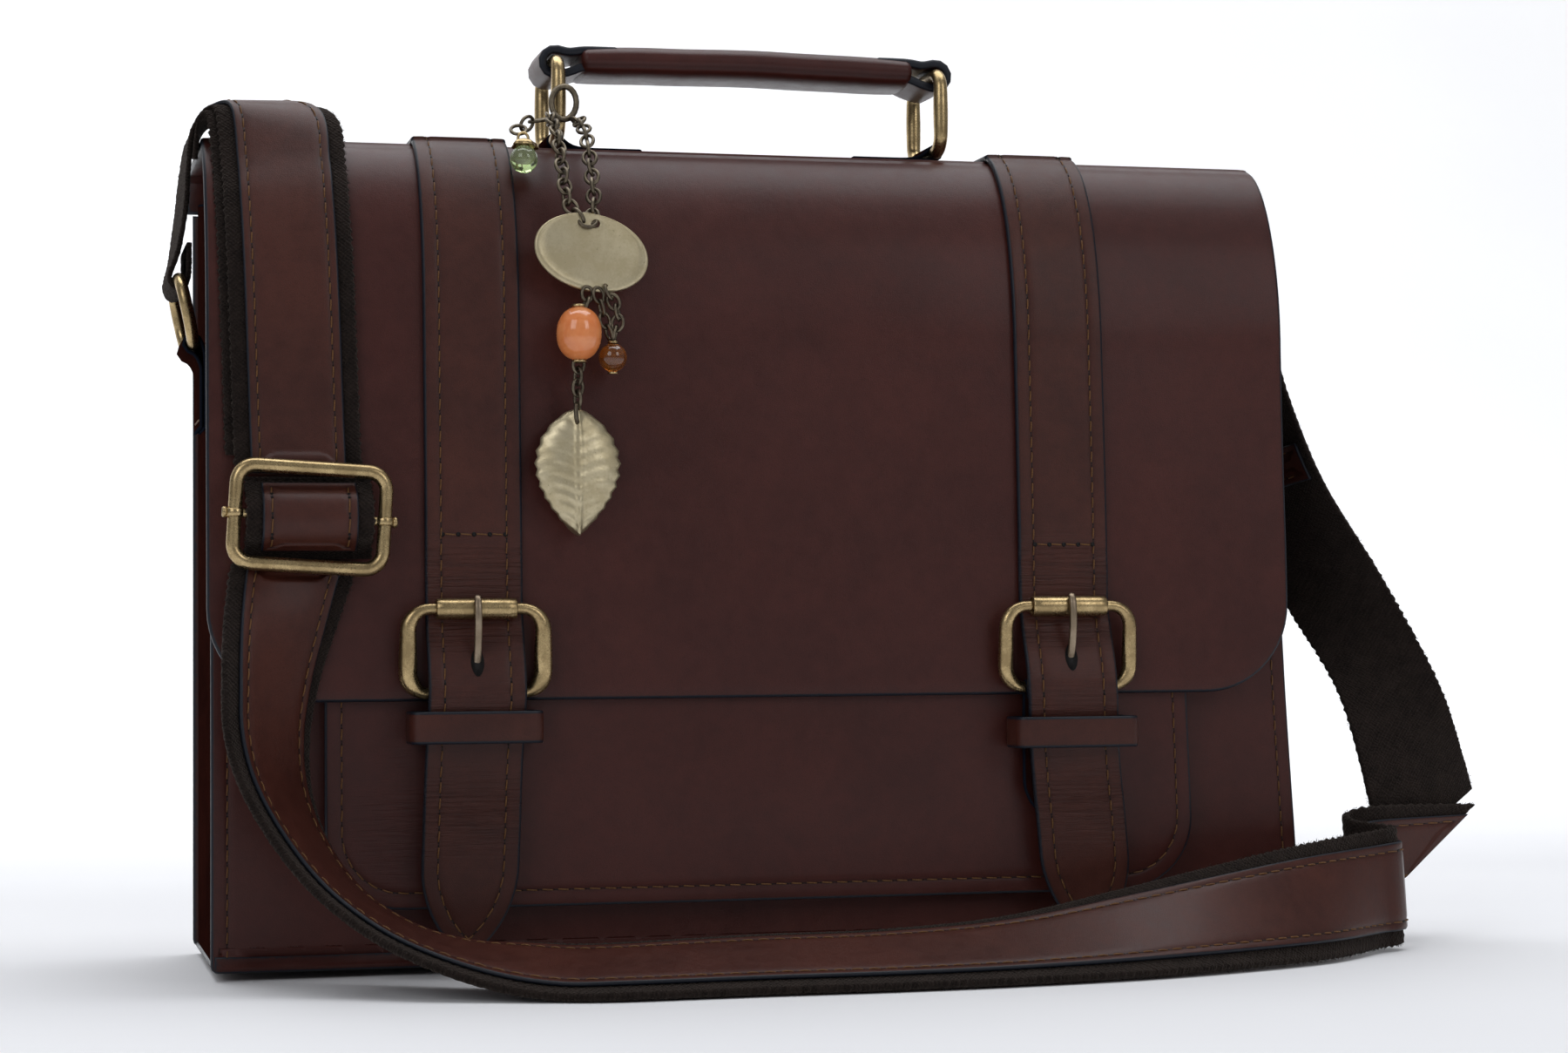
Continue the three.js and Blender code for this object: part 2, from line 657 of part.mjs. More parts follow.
// The straight run over the flap's crown and down its front, lying clear of the flap by the given lift
function upperStations(lift, shift) {
  const line = flapLine(-lift).filter(([y, z]) => z > 150 && z < 271 + lift && y < -34);
  const down = line.concat([[flapFrontTopY - 2.2 - lift, 172], [flapFrontTopY - 2.4 - lift, 161.2]]);
  return down.map(([y, z]) => {
    const left = -182 + (278 - z) / 118 * 3.6 + shift;
    return [[left, y, z], [left + webbingWidth, y, z]];
  });
}

// Webbing with its leather trim laid on the outer face
function buildLayered(name, stations) {
  const trimInset = (webbingWidth - trimWidth) / 2;
  add(`${name}_webbing`, band(stations, -webbingThickness), webbing);
  const trim = band(stations, -trimThickness, -webbingThickness - strapLayerGap, trimInset);
  add(`${name}_trim`, trim, leather);
}

function buildShoulderStrap() {
  const side = smooth(sideStations, 3);
  add("strap_side_webbing", band(side, -webbingThickness * 2), webbing);
  add("strap_under_webbing", band(upperStations(layerGap, -2.6), -webbingThickness), webbing);
  buildLayered("strap_upper", upperStations(webbingThickness + 2 * layerGap, 0));
  buildLayered("strap_window", windowStations);
  buildLayered("strap_lower", smooth(lowerStations, 6));
  buildLayered("strap_floor", smooth(floorStations, 7));
  const rise = smooth(riseStations, 8);
  add("strap_right_webbing", band(rise, webbingThickness, trimThickness + 2 * strapLayerGap), webbing);
  add("strap_right_trim", band(rise, trimThickness, layerGap, 5), leather);
}

// The adjuster on the strap: a flat wire frame with a bar across its middle
function buildSlider() {
  const loop = roundedLoop(sliderWidth / 2, sliderHeight / 2, sliderBend, 4);
  const frame = wireLoop(loop, sliderWire, 10).rotateX(Math.PI / 2).rotateY(sliderTilt);
  const rod = (radius, length) => {
    return new THREE.CylinderGeometry(radius, radius, length, 12).rotateZ(Math.PI / 2).rotateY(sliderTilt);
  };
  const bar = rod(sliderBarRadius, sliderBarLength);
  const bore = rod(sliderBarRadius + layerGap, sliderBarLength + 15);
  add("slider_frame", cut(frame, bore), brass, sliderCentre);
  add("slider_bar", bar, brass, sliderCentre);
}

// D-rings that the shoulder strap is tied to, each in a tab sewn to its gusset
function buildSideRings() {
  for (const [side, sign] of [["left", -1], ["right", 1]]) {
    add(`side_ring_${side}`, sideRing(sign, sideRingLean[side]), brass, [sign * sideBarX, 0, sideBarZ]);
    add(`side_tab_${side}`, sideTab(sign), darkLeather);
  }
}

// The ring stands up from its bar and leans outward
function sideRing(sign, lean) {
  const rise = sideRingHeight / 2;
  const loop = roundedLoop(sideRingWidth / 2, rise, sideRingBend, 5).map(([a, b]) => [a, b + rise]);
  const turn = new THREE.Matrix4();
  const up = new THREE.Vector3(sign * Math.sin(lean), 0, Math.cos(lean));
  const along = new THREE.Vector3(0, sign, 0);
  turn.makeBasis(along, up, along.clone().cross(up));
  return wireLoop(loop, sideRingWire, 10).applyMatrix4(turn);
}

// A strip folded round the ring's bar, both ends sewn to the gusset below it
function sideTab(sign) {
  const inner = sideRingWire + 0.4;
  const outer = inner + sideTabSheet;
  const face = halfWidth - gussetInset + layerGap;
  const twoSheets = face + 2 * sideTabSheet;
  const shape = new THREE.Shape();
  shape.moveTo(face, sideBarZ - sideTabDrop);
  shape.lineTo(twoSheets, sideBarZ - sideTabDrop);
  shape.lineTo(twoSheets, sideBarZ - 8);
  shape.lineTo(sideBarX + outer * 0.8, sideBarZ - outer * 0.6);
  shape.absarc(sideBarX, sideBarZ, outer, -0.6, Math.PI, false);
  shape.lineTo(face, sideBarZ - 2);
  shape.closePath();
  const solid = frontPlate(shape, -sideTabHalf, sideTabHalf);
  const bore = new THREE.CylinderGeometry(inner, inner, 80, 16).translate(sideBarX, 0, sideBarZ);
  const tab = cut(solid, bore);
  return sign > 0 ? tab : tab.rotateZ(Math.PI);
}

// ---- charm ----

// A flat stretch of chain through the given points, standing in for its links
function chain(name, points) {
  const half = chainWidth / 2;
  const stations = points.map(([x, y, z]) => [[x - half, y, z], [x + half, y, z]]);
  add(name, band(stations, -chainSheet), darkBrass);
}

function buildCharm() {
  chain("charm_chain_left", [
    [-71.5, -31.5, 283], [-72, -44, 275], [-72, -56, 262], [-72.5, charmY + 1, 245],
  ]);
  chain("charm_chain_right", [
    [-63, -31.5, 281], [-62.6, -44, 274], [-62.5, -56, 262], [-63, charmY + 1, 247],
  ]);
  chain("charm_chain_lower", [[-69.5, charmY - 2, 197], [-69.5, charmY - 2, 183.5]]);
  const clasp = new THREE.SphereGeometry(3, 12, 8).scale(1.8, 1, 0.8);
  add("charm_clasp", clasp, darkBrass, [-67.2, -30.2, 288.3]);
  const roundBead = new THREE.SphereGeometry(roundBeadRadius, 16, 10);
  add("charm_green_bead", roundBead, greenBead, [-83.4, -49.5, 265.8]);
  add("charm_amber_bead", roundBead.clone(), amberBead, [-58, charmY - 3, 199]);
  const cap = new THREE.CylinderGeometry(1.2, 4.2, 2, 14).rotateX(Math.PI / 2);
  add("charm_bead_cap", cap, brass, [-82.6, -48.5, 272.4]);
  const longBead = new THREE.SphereGeometry(1, 16, 12).scale(6.6, 5.2, 8.6);
  add("charm_orange_bead", longBead, orangeBead, [-69.2, charmY - 4, 206.5]);

  const oval = new THREE.Shape();
  oval.absellipse(0, 0, tagHalfWidth, tagHalfHeight, 0, Math.PI * 2, false);
  add("charm_tag", frontPlate(oval, -tagSheet / 2, tagSheet / 2).rotateY(tagTilt), brass, tagCentre);
  const leaf = new THREE.Shape();
  leaf.moveTo(0, 0);
  leaf.bezierCurveTo(leafHalfWidth, -leafLength * 0.2, leafHalfWidth, -leafLength * 0.66, 0, -leafLength);
  leaf.bezierCurveTo(-leafHalfWidth, -leafLength * 0.66, -leafHalfWidth, -leafLength * 0.2, 0, 0);
  add("charm_leaf", frontPlate(leaf, -tagSheet / 2, tagSheet / 2), brass, leafTop);
}

buildBody();
buildPocket();
buildFlap();
["left", "right"].forEach(buildClosure);
buildHandle();
buildShoulderStrap();
buildSlider();
buildSideRings();
buildCharm();

export default group;
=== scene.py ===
"""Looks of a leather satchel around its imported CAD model.

Lengths in this script are millimetres in the model's frame (+X right, +Y back, +Z up) and are turned
into metres where a mesh is made. A leather piece is a flat pattern with rounded, painted edges and a
sewn row, laid onto its surface by a place() function."""
import math
import random

import bpy
import bmesh
import numpy as np
from mathutils import Matrix, Vector, noise


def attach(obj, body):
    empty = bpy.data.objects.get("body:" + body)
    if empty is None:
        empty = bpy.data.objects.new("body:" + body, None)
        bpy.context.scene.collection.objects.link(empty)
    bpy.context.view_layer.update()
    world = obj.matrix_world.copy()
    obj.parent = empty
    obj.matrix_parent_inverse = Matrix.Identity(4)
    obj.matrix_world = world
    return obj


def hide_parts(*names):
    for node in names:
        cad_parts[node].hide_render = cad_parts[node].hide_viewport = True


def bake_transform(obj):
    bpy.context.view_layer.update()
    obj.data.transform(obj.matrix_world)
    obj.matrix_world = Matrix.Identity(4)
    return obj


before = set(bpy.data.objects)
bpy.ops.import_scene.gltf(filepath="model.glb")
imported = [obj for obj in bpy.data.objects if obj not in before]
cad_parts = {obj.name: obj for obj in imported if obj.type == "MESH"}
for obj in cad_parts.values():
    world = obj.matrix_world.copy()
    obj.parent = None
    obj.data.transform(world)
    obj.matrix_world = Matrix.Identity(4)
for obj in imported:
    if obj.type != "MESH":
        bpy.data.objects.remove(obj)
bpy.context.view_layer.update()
MM = 0.001
rng = random.Random(7)

# ---- camera ----

CAMERA_PLACE = Vector((-248.72, -1062.66, 106.02)) * MM
CAMERA_YAW = 0.2442
CAMERA_PITCH = 0.0375
CAMERA_ROLL = -0.0076
CAMERA_LENS = 71.85
CAMERA_SENSOR = 36
CAMERA_CLIP = (0.05, 60)


def make_camera():
    data = bpy.data.cameras.new("camera")
    data.lens = CAMERA_LENS
    data.sensor_width = CAMERA_SENSOR
    data.clip_start, data.clip_end = CAMERA_CLIP
    camera = bpy.data.objects.new("camera", data)
    bpy.context.scene.collection.objects.link(camera)
    forward = Vector((
        math.sin(CAMERA_YAW) * math.cos(CAMERA_PITCH),
        math.cos(CAMERA_YAW) * math.cos(CAMERA_PITCH),
        math.sin(CAMERA_PITCH),
    ))
    level = Vector((math.cos(CAMERA_YAW), -math.sin(CAMERA_YAW), 0))
    upright = level.cross(forward)
    right = level * math.cos(CAMERA_ROLL) + upright * math.sin(CAMERA_ROLL)
    up = upright * math.cos(CAMERA_ROLL) - level * math.sin(CAMERA_ROLL)
    turn = Matrix((right, up, -forward)).transposed().to_4x4()
    camera.matrix_world = Matrix.Translation(CAMERA_PLACE) @ turn
    bpy.context.scene.camera = camera


make_camera()

# ---- materials ----


class Shader:
    """A material's node tree, with short calls for the nodes that the materials share."""

    def __init__(self, name):
        self.material = bpy.data.materials.new(name)
        self.material.use_nodes = True
        self.tree = self.material.node_tree
        self.bsdf = self.tree.nodes["Principled BSDF"]

    def node(self, kind, inputs=None, **settings):
        made = self.tree.nodes.new(kind)
        for key, value in settings.items():
            setattr(made, key, value)
        for key, value in (inputs or {}).items():
            if isinstance(value, bpy.types.NodeSocket):
                self.tree.links.new(value, made.inputs[key])
            else:
                made.inputs[key].default_value = value
        return made

    def math(self, operation, a, b=0.0, c=0.0):
        return self.node("ShaderNodeMath", {0: a, 1: b, 2: c}, operation=operation).outputs[0]

    def place(self):
        return self.node("ShaderNodeTexCoord").outputs["Object"]

    def value(self, name):
        return self.node("ShaderNodeAttribute", attribute_name=name).outputs["Fac"]

    def vector(self, name):
        return self.node("ShaderNodeAttribute", attribute_name=name).outputs["Vector"]

    def stretched(self, source, scale):
        return self.node("ShaderNodeMapping", {"Vector": source, "Scale": scale}).outputs[0]

    def noise(self, source, scale, detail=2.0, roughness=0.5, distortion=0.0):
        inputs = {"Vector": source, "Scale": scale, "Detail": detail, "Roughness": roughness,
                  "Distortion": distortion}
        return self.node("ShaderNodeTexNoise", inputs).outputs["Fac"]

    def cells(self, source, scale):
        made = self.node("ShaderNodeTexVoronoi", {"Vector": source, "Scale": scale},
                         feature="DISTANCE_TO_EDGE")
        return made.outputs["Distance"]

    def band(self, value, low, high, out_low=0.0, out_high=1.0):
        inputs = {"Value": value, "From Min": low, "From Max": high, "To Min": out_low, "To Max": out_high}
        return self.node("ShaderNodeMapRange", inputs).outputs[0]

    def mix(self, factor, a, b):
        made = self.node("ShaderNodeMix", {0: factor}, data_type="RGBA")
        for index, value in ((6, a), (7, b)):
            if isinstance(value, bpy.types.NodeSocket):
                self.tree.links.new(value, made.inputs[index])
            else:
                made.inputs[index].default_value = value
        return made.outputs[2]

    def bump(self, height, distance, normal=None, strength=1.0):
        inputs = {"Height": height, "Distance": distance, "Strength": strength}
        if normal is not None:
            inputs["Normal"] = normal
        return self.node("ShaderNodeBump", inputs).outputs[0]

    def set(self, **sockets):
        for key, value in sockets.items():
            socket = self.bsdf.inputs[key.replace("_", " ")]
            if isinstance(value, bpy.types.NodeSocket):
                self.tree.links.new(value, socket)
            else:
                socket.default_value = value
        return self


def colour(r, g, b):
    return (r, g, b, 1.0)


def toned(colour, factor):
    """A colour made darker or lighter by a factor, opaque."""
    return tuple(factor * c for c in colour[:3]) + (1.0,)


def leather(name, light, dark, roughness, coat, shine, grain=1.0):
    """Smooth dressed leather: mottled colour, fine pores, creases where `wear` says, painted cut edges, and
    painted shade in the sewn grooves and crease valleys.
    """
    s = Shader(name)
    place = s.place()
    cloud = s.noise(place, 26.0, 4.0, 0.6)
    mottle = s.noise(place, 190.0, 3.0, 0.6)
    tone = s.math("ADD", s.band(cloud, 0.32, 0.68), s.band(mottle, 0.3, 0.7, -0.3, 0.3))
    base = s.mix(s.math("MAXIMUM", s.math("MINIMUM", tone, 1.0), 0.0), dark, light)
    pores = s.cells(place, 1500.0)
    base = s.mix(s.band(pores, 0.0, 0.1, 0.26 * grain, 0.0), base,
                 toned(dark, 0.35))
    # Painted shade in the sewn groove: the leather is darkened along the pressed-in row.
    seam_shade = s.value("seam_shade")
    base = s.mix(s.math("MULTIPLY", seam_shade, 0.42), base, toned(dark, 0.3))
    edge = s.value("edge")
    ragged = s.math("ADD", edge, s.band(s.noise(place, 900.0), 0.3, 0.7, -0.08, 0.08))
    # Darker towards the cut edges, next to the edge paint.
    edge_darkening = s.band(ragged, 0.02, 0.5, 0.0, 0.5)
    base = s.mix(edge_darkening, base, toned(dark, 0.4))
    paint = s.band(ragged, 0.42, 0.58)
    base = s.mix(paint, base, colour(0.0075, 0.0095, 0.0155))

    wear = s.value("wear")
    across = s.vector("surf")
    wrinkle = s.noise(s.stretched(across, (0.05, 0.85, 1.0)), 1.0, 4.0, 0.62, 0.6)
    crease = s.math("MULTIPLY", s.band(wrinkle, 0.36, 0.62), wear)
    # The crease valleys are darkened where the leather is worn: painted shade in the folds.
    base = s.mix(s.math("MULTIPLY", s.band(wrinkle, 0.5, 0.33), s.math("MULTIPLY", wear, 0.55)), base,
                 toned(dark, 0.4))
    fine = s.noise(place, 3600.0, 3.0, 0.7)
    soft = s.noise(place, 420.0, 3.0, 0.55)
    height = s.math("ADD", s.math("MULTIPLY", s.band(pores, 0.0, 0.12), 0.35 * grain),
                    s.math("ADD", s.math("MULTIPLY", fine, 0.5 * grain), s.math("MULTIPLY", soft, 0.9)))
    normal = s.bump(height, 0.00005)
    normal = s.bump(crease, 0.0004, normal)
    rough = s.math("ADD", s.band(mottle, 0.3, 0.7, roughness - 0.04, roughness + 0.05),
                   s.math("MULTIPLY", wear, 0.06))
    s.set(Base_Color=base, Roughness=rough, Normal=normal, Coat_Weight=coat, Coat_Roughness=0.2)
    s.set(Specular_IOR_Level=shine, IOR=1.48)
    return s.material


def webbing(name, light, dark):
    """Chunky woven webbing: weft ribs across, warp yarns along, felted by wear."""
    s = Shader(name)
    laid = s.vector("surf")
    split = s.node("ShaderNodeSeparateXYZ", {0: laid})
    wobble = s.band(s.noise(laid, 0.35, 2.0), 0.3, 0.7, -0.5, 0.5)
    across = s.math("ADD", split.outputs[0], wobble)
    along = s.math("ADD", split.outputs[1], wobble)
    warp = s.math("SINE", s.math("MULTIPLY", across, math.pi / 0.82))
    weft = s.math("SINE", s.math("MULTIPLY", along, math.pi / 0.68))
    plait = s.math("MULTIPLY", warp, weft)
    yarn = s.band(plait, -1.0, 1.0)
    place = s.place()
    felt = s.noise(place, 1500.0, 4.0, 0.7)
    patch = s.noise(place, 160.0, 3.0, 0.6)
    tone = s.math("ADD", s.math("MULTIPLY", yarn, 0.55), s.band(felt, 0.3, 0.75, -0.15, 0.6))
    base = s.mix(s.math("MAXIMUM", s.math("MINIMUM", tone, 1.0), 0.0), dark, light)
    base = s.mix(s.band(patch, 0.35, 0.7, 0.0, 0.45), base, toned(light, 1.35))
    height = s.math("ADD", s.math("MULTIPLY", yarn, 0.7), s.math("MULTIPLY", felt, 0.8))
    normal = s.bump(height, 0.00042)
    s.set(Base_Color=base, Roughness=0.95, Normal=normal, Sheen_Weight=0.16, Sheen_Roughness=0.5)
    s.set(Specular_IOR_Level=0.1, Sheen_Tint=colour(0.5, 0.42, 0.36))
    return s.material


def metal(name, bright, dull, roughness, brushed=(1.0, 1.0, 1.0)):
    """Antiqued metal: a worn bright skin over darker patina, with fine scratches."""
    s = Shader(name)
    place = s.place()
    cloud = s.noise(place, 150.0, 4.0, 0.6)
    speck = s.noise(place, 1300.0, 3.0, 0.6)
    scratch = s.noise(s.stretched(place, brushed), 1600.0, 2.0, 0.6)
    worn = s.band(s.math("ADD", cloud, s.math("MULTIPLY", speck, 0.35)), 0.5, 0.8)
    base = s.mix(s.math("MULTIPLY", worn, 0.6), bright, dull)
    base = s.mix(s.band(speck, 0.68, 0.76, 0.0, 0.7), base, toned(dull, 0.3))
    rough = s.math("ADD", s.band(scratch, 0.3, 0.7, roughness - 0.06, roughness + 0.08),
                   s.math("MULTIPLY", worn, 0.08))
    height = s.math("ADD", s.math("MULTIPLY", scratch, 0.5), speck)
    s.set(Base_Color=base, Metallic=1.0, Roughness=rough, Normal=s.bump(height, 0.00002))
    return s.material


def thread(name, light, dark):
    """Waxed sewing thread with its twist."""
    s = Shader(name)
    place = s.place()
    twist = s.noise(place, 2600.0, 2.0, 0.6)
    base = s.mix(s.band(twist, 0.35, 0.65), dark, light)
    s.set(Base_Color=base, Roughness=0.6, Normal=s.bump(twist, 0.0001), Specular_IOR_Level=0.3)
    return s.material


def cloth(name, light, dark):
    """Plain-woven cotton lining."""
    s = Shader(name)
    place = s.place()
    grid = s.node("ShaderNodeTexWave", {"Vector": place, "Scale": 420.0, "Distortion": 1.0},
                  bands_direction="X")
    rows = s.node("ShaderNodeTexWave", {"Vector": place, "Scale": 420.0, "Distortion": 1.0},
                  bands_direction="Z")
    weave = s.math("MULTIPLY", grid.outputs["Fac"], rows.outputs["Fac"])
    patch = s.noise(place, 40.0, 3.0)
    base = s.mix(s.math("ADD", s.math("MULTIPLY", weave, 0.5), s.math("MULTIPLY", patch, 0.5)), dark, light)
    s.set(Base_Color=base, Roughness=0.92, Normal=s.bump(weave, 0.00015), Sheen_Weight=0.2)
    return s.material


def bead(name, tint, roughness, transmission, cloud_tint):
    """Glass or glossy stone, with faint clouds inside."""
    s = Shader(name)
    cloud = s.noise(s.place(), 240.0, 3.0, 0.5, 0.8)
    base = s.mix(s.band(cloud, 0.35, 0.7, 0.0, 0.8), tint, cloud_tint)
    s.set(Base_Color=base, Roughness=roughness, Transmission_Weight=transmission, IOR=1.52)
    s.set(Coat_Weight=0.4, Coat_Roughness=0.05)
    return s.material


SHELL = leather("shell_leather", colour(0.062, 0.0145, 0.0105), colour(0.045, 0.0102, 0.0075), 0.37, 0.08,
                0.24)
STRAP = leather("strap_leather", colour(0.068, 0.0185, 0.0115), colour(0.044, 0.0115, 0.0075), 0.39, 0.06,
                0.25, 1.2)
# A darker copy of the shell leather: painted shade for the gussets, the pocket's side and the small tabs,
# which stand in shade; it has no shine.
SHADED_LEATHER = leather("dark_leather", colour(0.026, 0.0068, 0.0048), colour(0.015, 0.0044, 0.0034), 0.6, 0.0, 0.0)
WEB = webbing("webbing", colour(0.021, 0.0145, 0.012), colour(0.0028, 0.002, 0.0019))
BRASS = metal("antique_brass", colour(0.56, 0.42, 0.215), colour(0.22, 0.15, 0.07), 0.24)
SATIN = metal("satin_brass", colour(0.62, 0.54, 0.36), colour(0.42, 0.345, 0.2), 0.36, (1.0, 1.0, 14.0))
STEEL = metal("worn_steel", colour(0.36, 0.285, 0.205), colour(0.17, 0.125, 0.08), 0.32)
CHAIN = metal("dark_brass", colour(0.2, 0.165, 0.115), colour(0.045, 0.036, 0.028), 0.34)
THREAD = thread("thread", colour(0.165, 0.075, 0.021), colour(0.085, 0.036, 0.011))
# Needle holes and prong slots are dark discs on the leather: painted shade of the holes.
HOLE_SHADE = thread("needle_hole_shade", colour(0.006, 0.0035, 0.003), colour(0.0015, 0.001, 0.001))
LINING = cloth("lining_cloth", colour(0.115, 0.08, 0.052), colour(0.06, 0.04, 0.026))
ORANGE = bead("orange_stone", colour(0.72, 0.21, 0.06), 0.13, 0.0, colour(0.8, 0.3, 0.11))
AMBER = bead("amber_glass", colour(0.62, 0.2, 0.02), 0.03, 0.85, colour(0.25, 0.06, 0.01))
GREEN = bead("green_glass", colour(0.72, 0.86, 0.52), 0.02, 0.92, colour(0.5, 0.7, 0.22))

# ---- meshes ----


def add_object(name, points, faces, materials, body, stands_for=(), attributes=None, face_slots=None):
    """A closed mesh in millimetres, made an object that rides on a body (None: the caller places it)."""
    mesh = bpy.data.meshes.new(name)
    mesh.from_pydata((np.asarray(points, float) * MM).tolist(), [], faces)
    for material in materials:
        mesh.materials.append(material)
    if face_slots is not None:
        mesh.polygons.foreach_set("material_index", np.asarray(face_slots, np.int32))
    for key, values in (attributes or {}).items():
        values = np.asarray(values, np.float32)
        if values.ndim == 1:
            mesh.attributes.new(key, "FLOAT", "POINT").data.foreach_set("value", values)
        else:
            mesh.attributes.new(key, "FLOAT_VECTOR", "POINT").data.foreach_set("vector", values.ravel())
    mesh.polygons.foreach_set("use_smooth", np.ones(len(mesh.polygons), bool))
    tidy = bmesh.new()
    tidy.from_mesh(mesh)
    bmesh.ops.recalc_face_normals(tidy, faces=tidy.faces)
    tidy.to_mesh(mesh)
    tidy.free()
    made = bpy.data.objects.new(name, mesh)
    bpy.context.scene.collection.objects.link(made)
    if stands_for:
        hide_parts(*stands_for)
    if body:
        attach(made, body)
    return made


class Parts:
    """Several closed pieces gathered into one mesh."""

    def __init__(self):
        self.points = []
        self.faces = []
        self.face_slots = []
        self.count = 0

    def add(self, points, faces, face_slot=0):
        self.points.append(np.asarray(points, float))
        self.faces += [tuple(i + self.count for i in face) for face in faces]
        self.face_slots += [face_slot] * len(faces)
        self.count += len(points)

    def build(self, name, materials, body, stands_for=()):
        points = np.concatenate(self.points)
        return add_object(name, points, self.faces, materials, body, stands_for, None,
                          self.face_slots)


def unit(vectors):
    vectors = np.asarray(vectors, float)
    return vectors / np.maximum(np.linalg.norm(vectors, axis=-1, keepdims=True), 1e-9)


def smooth_line(points, steps=8, closed=False):
    """Catmull-Rom through the points."""
    p = np.asarray(points, float)
    if closed:
        p = np.concatenate([p[-1:], p, p[:2]])
    else:
        p = np.concatenate([[2 * p[0] - p[1]], p, [2 * p[-1] - p[-2]]])
    t = np.linspace(0, 1, steps, endpoint=False)[:, None]
    out = []
    for a, b, c, d in zip(p, p[1:], p[2:], p[3:]):
        out.append(0.5 * (2 * b + (c - a) * t + (2 * a - 5 * b + 4 * c - d) * t ** 2
                          + (3 * b - a - 3 * c + d) * t ** 3))
    if not closed:
        out.append(p[-2:-1])
    return np.concatenate(out)


def lengths(line):
    return np.concatenate([[0], np.cumsum(np.linalg.norm(np.diff(line, axis=0), axis=1))])


def resample(line, count):
    """The line at `count` evenly spaced places."""
    at = lengths(line)
    want = np.linspace(0, at[-1], count)
    return np.stack([np.interp(want, at, line[:, k]) for k in range(line.shape[1])], axis=1)


class Path:
    """A strip's route: its middle, half-width vector and outward normal at every length along it."""

    def __init__(self, middle, half, normal):
        self.at = lengths(middle)
        self.middle, self.half, self.normal = middle, half, unit(normal)
        self.length = self.at[-1]

    def sample(self, rows, v):
        return np.stack([np.interp(v, self.at, rows[:, k]) for k in range(3)], axis=1)

    def place(self, lift=0.0, half_width=1.0):
        def laid(u, v, h):
            reach = (np.asarray(u) / half_width)[:, None] * self.sample(self.half, v)
            rise = (np.asarray(h) + lift)[:, None] * unit(self.sample(self.normal, v))
            return self.sample(self.middle, v) + reach + rise
        return laid


def pair_path(stations, steps, flip):
    """The path between two edge lines, given as stations of (left edge, right edge)."""
    left = smooth_line([s[0] for s in stations], steps)
    right = smooth_line([s[1] for s in stations], steps)
    middle = (left + right) / 2
    half = (right - left) / 2
    along = np.gradient(middle, axis=0)
    normal = np.cross(along, half) * (1 if flip else -1)
    return Path(middle, half, normal)


# ---- patterns: outlines of flat pieces, inset by d ----


def even(a, b, step):
    """Places from a to b about a step apart, both ends included."""
    return np.linspace(a, b, max(2, int(round(abs(b - a) / step)) + 1))


def strip_shape(width, start, end, step=4.0):
    """A straight strip."""
    def side(d):
        v = even(start, end, step)
        v[0] += d
        v[-1] -= d
        v = np.clip(v, start + d, end - d)
        u = np.full(len(v), width / 2 - d)
        return np.stack([-u, v], 1), np.stack([u, v], 1)
    return side


def pouch_shape(left, right, start, end, radius, step=6.0, corner=9, stations=None):
    """A rectangle whose two corners at the far end are rounded."""
    def side(d):
        v = stations.copy() if stations is not None else even(start, end - radius, step)
        v = np.clip(v, start + d, end - radius)
        turn = np.linspace(0, math.pi / 2, corner)[1:]
        arc_u = (radius - d) * (1 - np.cos(turn)) + d
        arc_v = end - radius + (radius - d) * np.sin(turn)
        u = np.concatenate([np.full(len(v), d), arc_u])
        v = np.concatenate([v, arc_v])
        return np.stack([left + u, v], 1), np.stack([right - u, v], 1)
    return side


def tongue_shape(width, start, end, tip, step=3.0, corner=16):
    """A strip that ends in a pointed arch of the given length."""
    half = width / 2
    radius = (tip ** 2 + half ** 2) / (2 * half)

    def side(d):
        v = np.clip(even(start, end - tip, step), start + d, None)
        last = math.acos(min(1.0, (radius - half) / (radius - d)))
        turn = np.linspace(0, last * 0.985, corner)[1:]
        arc_u = (radius - d) * np.cos(turn) - (radius - half)
        arc_v = end - tip + (radius - d) * np.sin(turn)
        u = np.concatenate([np.full(len(v), half - d), arc_u])
        v = np.concatenate([v, arc_v])
        return np.stack([-u, v], 1), np.stack([u, v], 1)
    return side


def pattern_ring(side, columns, d):
    """The closed outline at inset d: down the left, along the end, up the right, back along the start."""
    left, right = side(d)
    t = np.linspace(0, 1, columns + 1)[1:-1, None]
    end = left[-1] + (right[-1] - left[-1]) * t
    start = right[0] + (left[0] - right[0]) * t
    return np.concatenate([left, end, right[::-1], start])


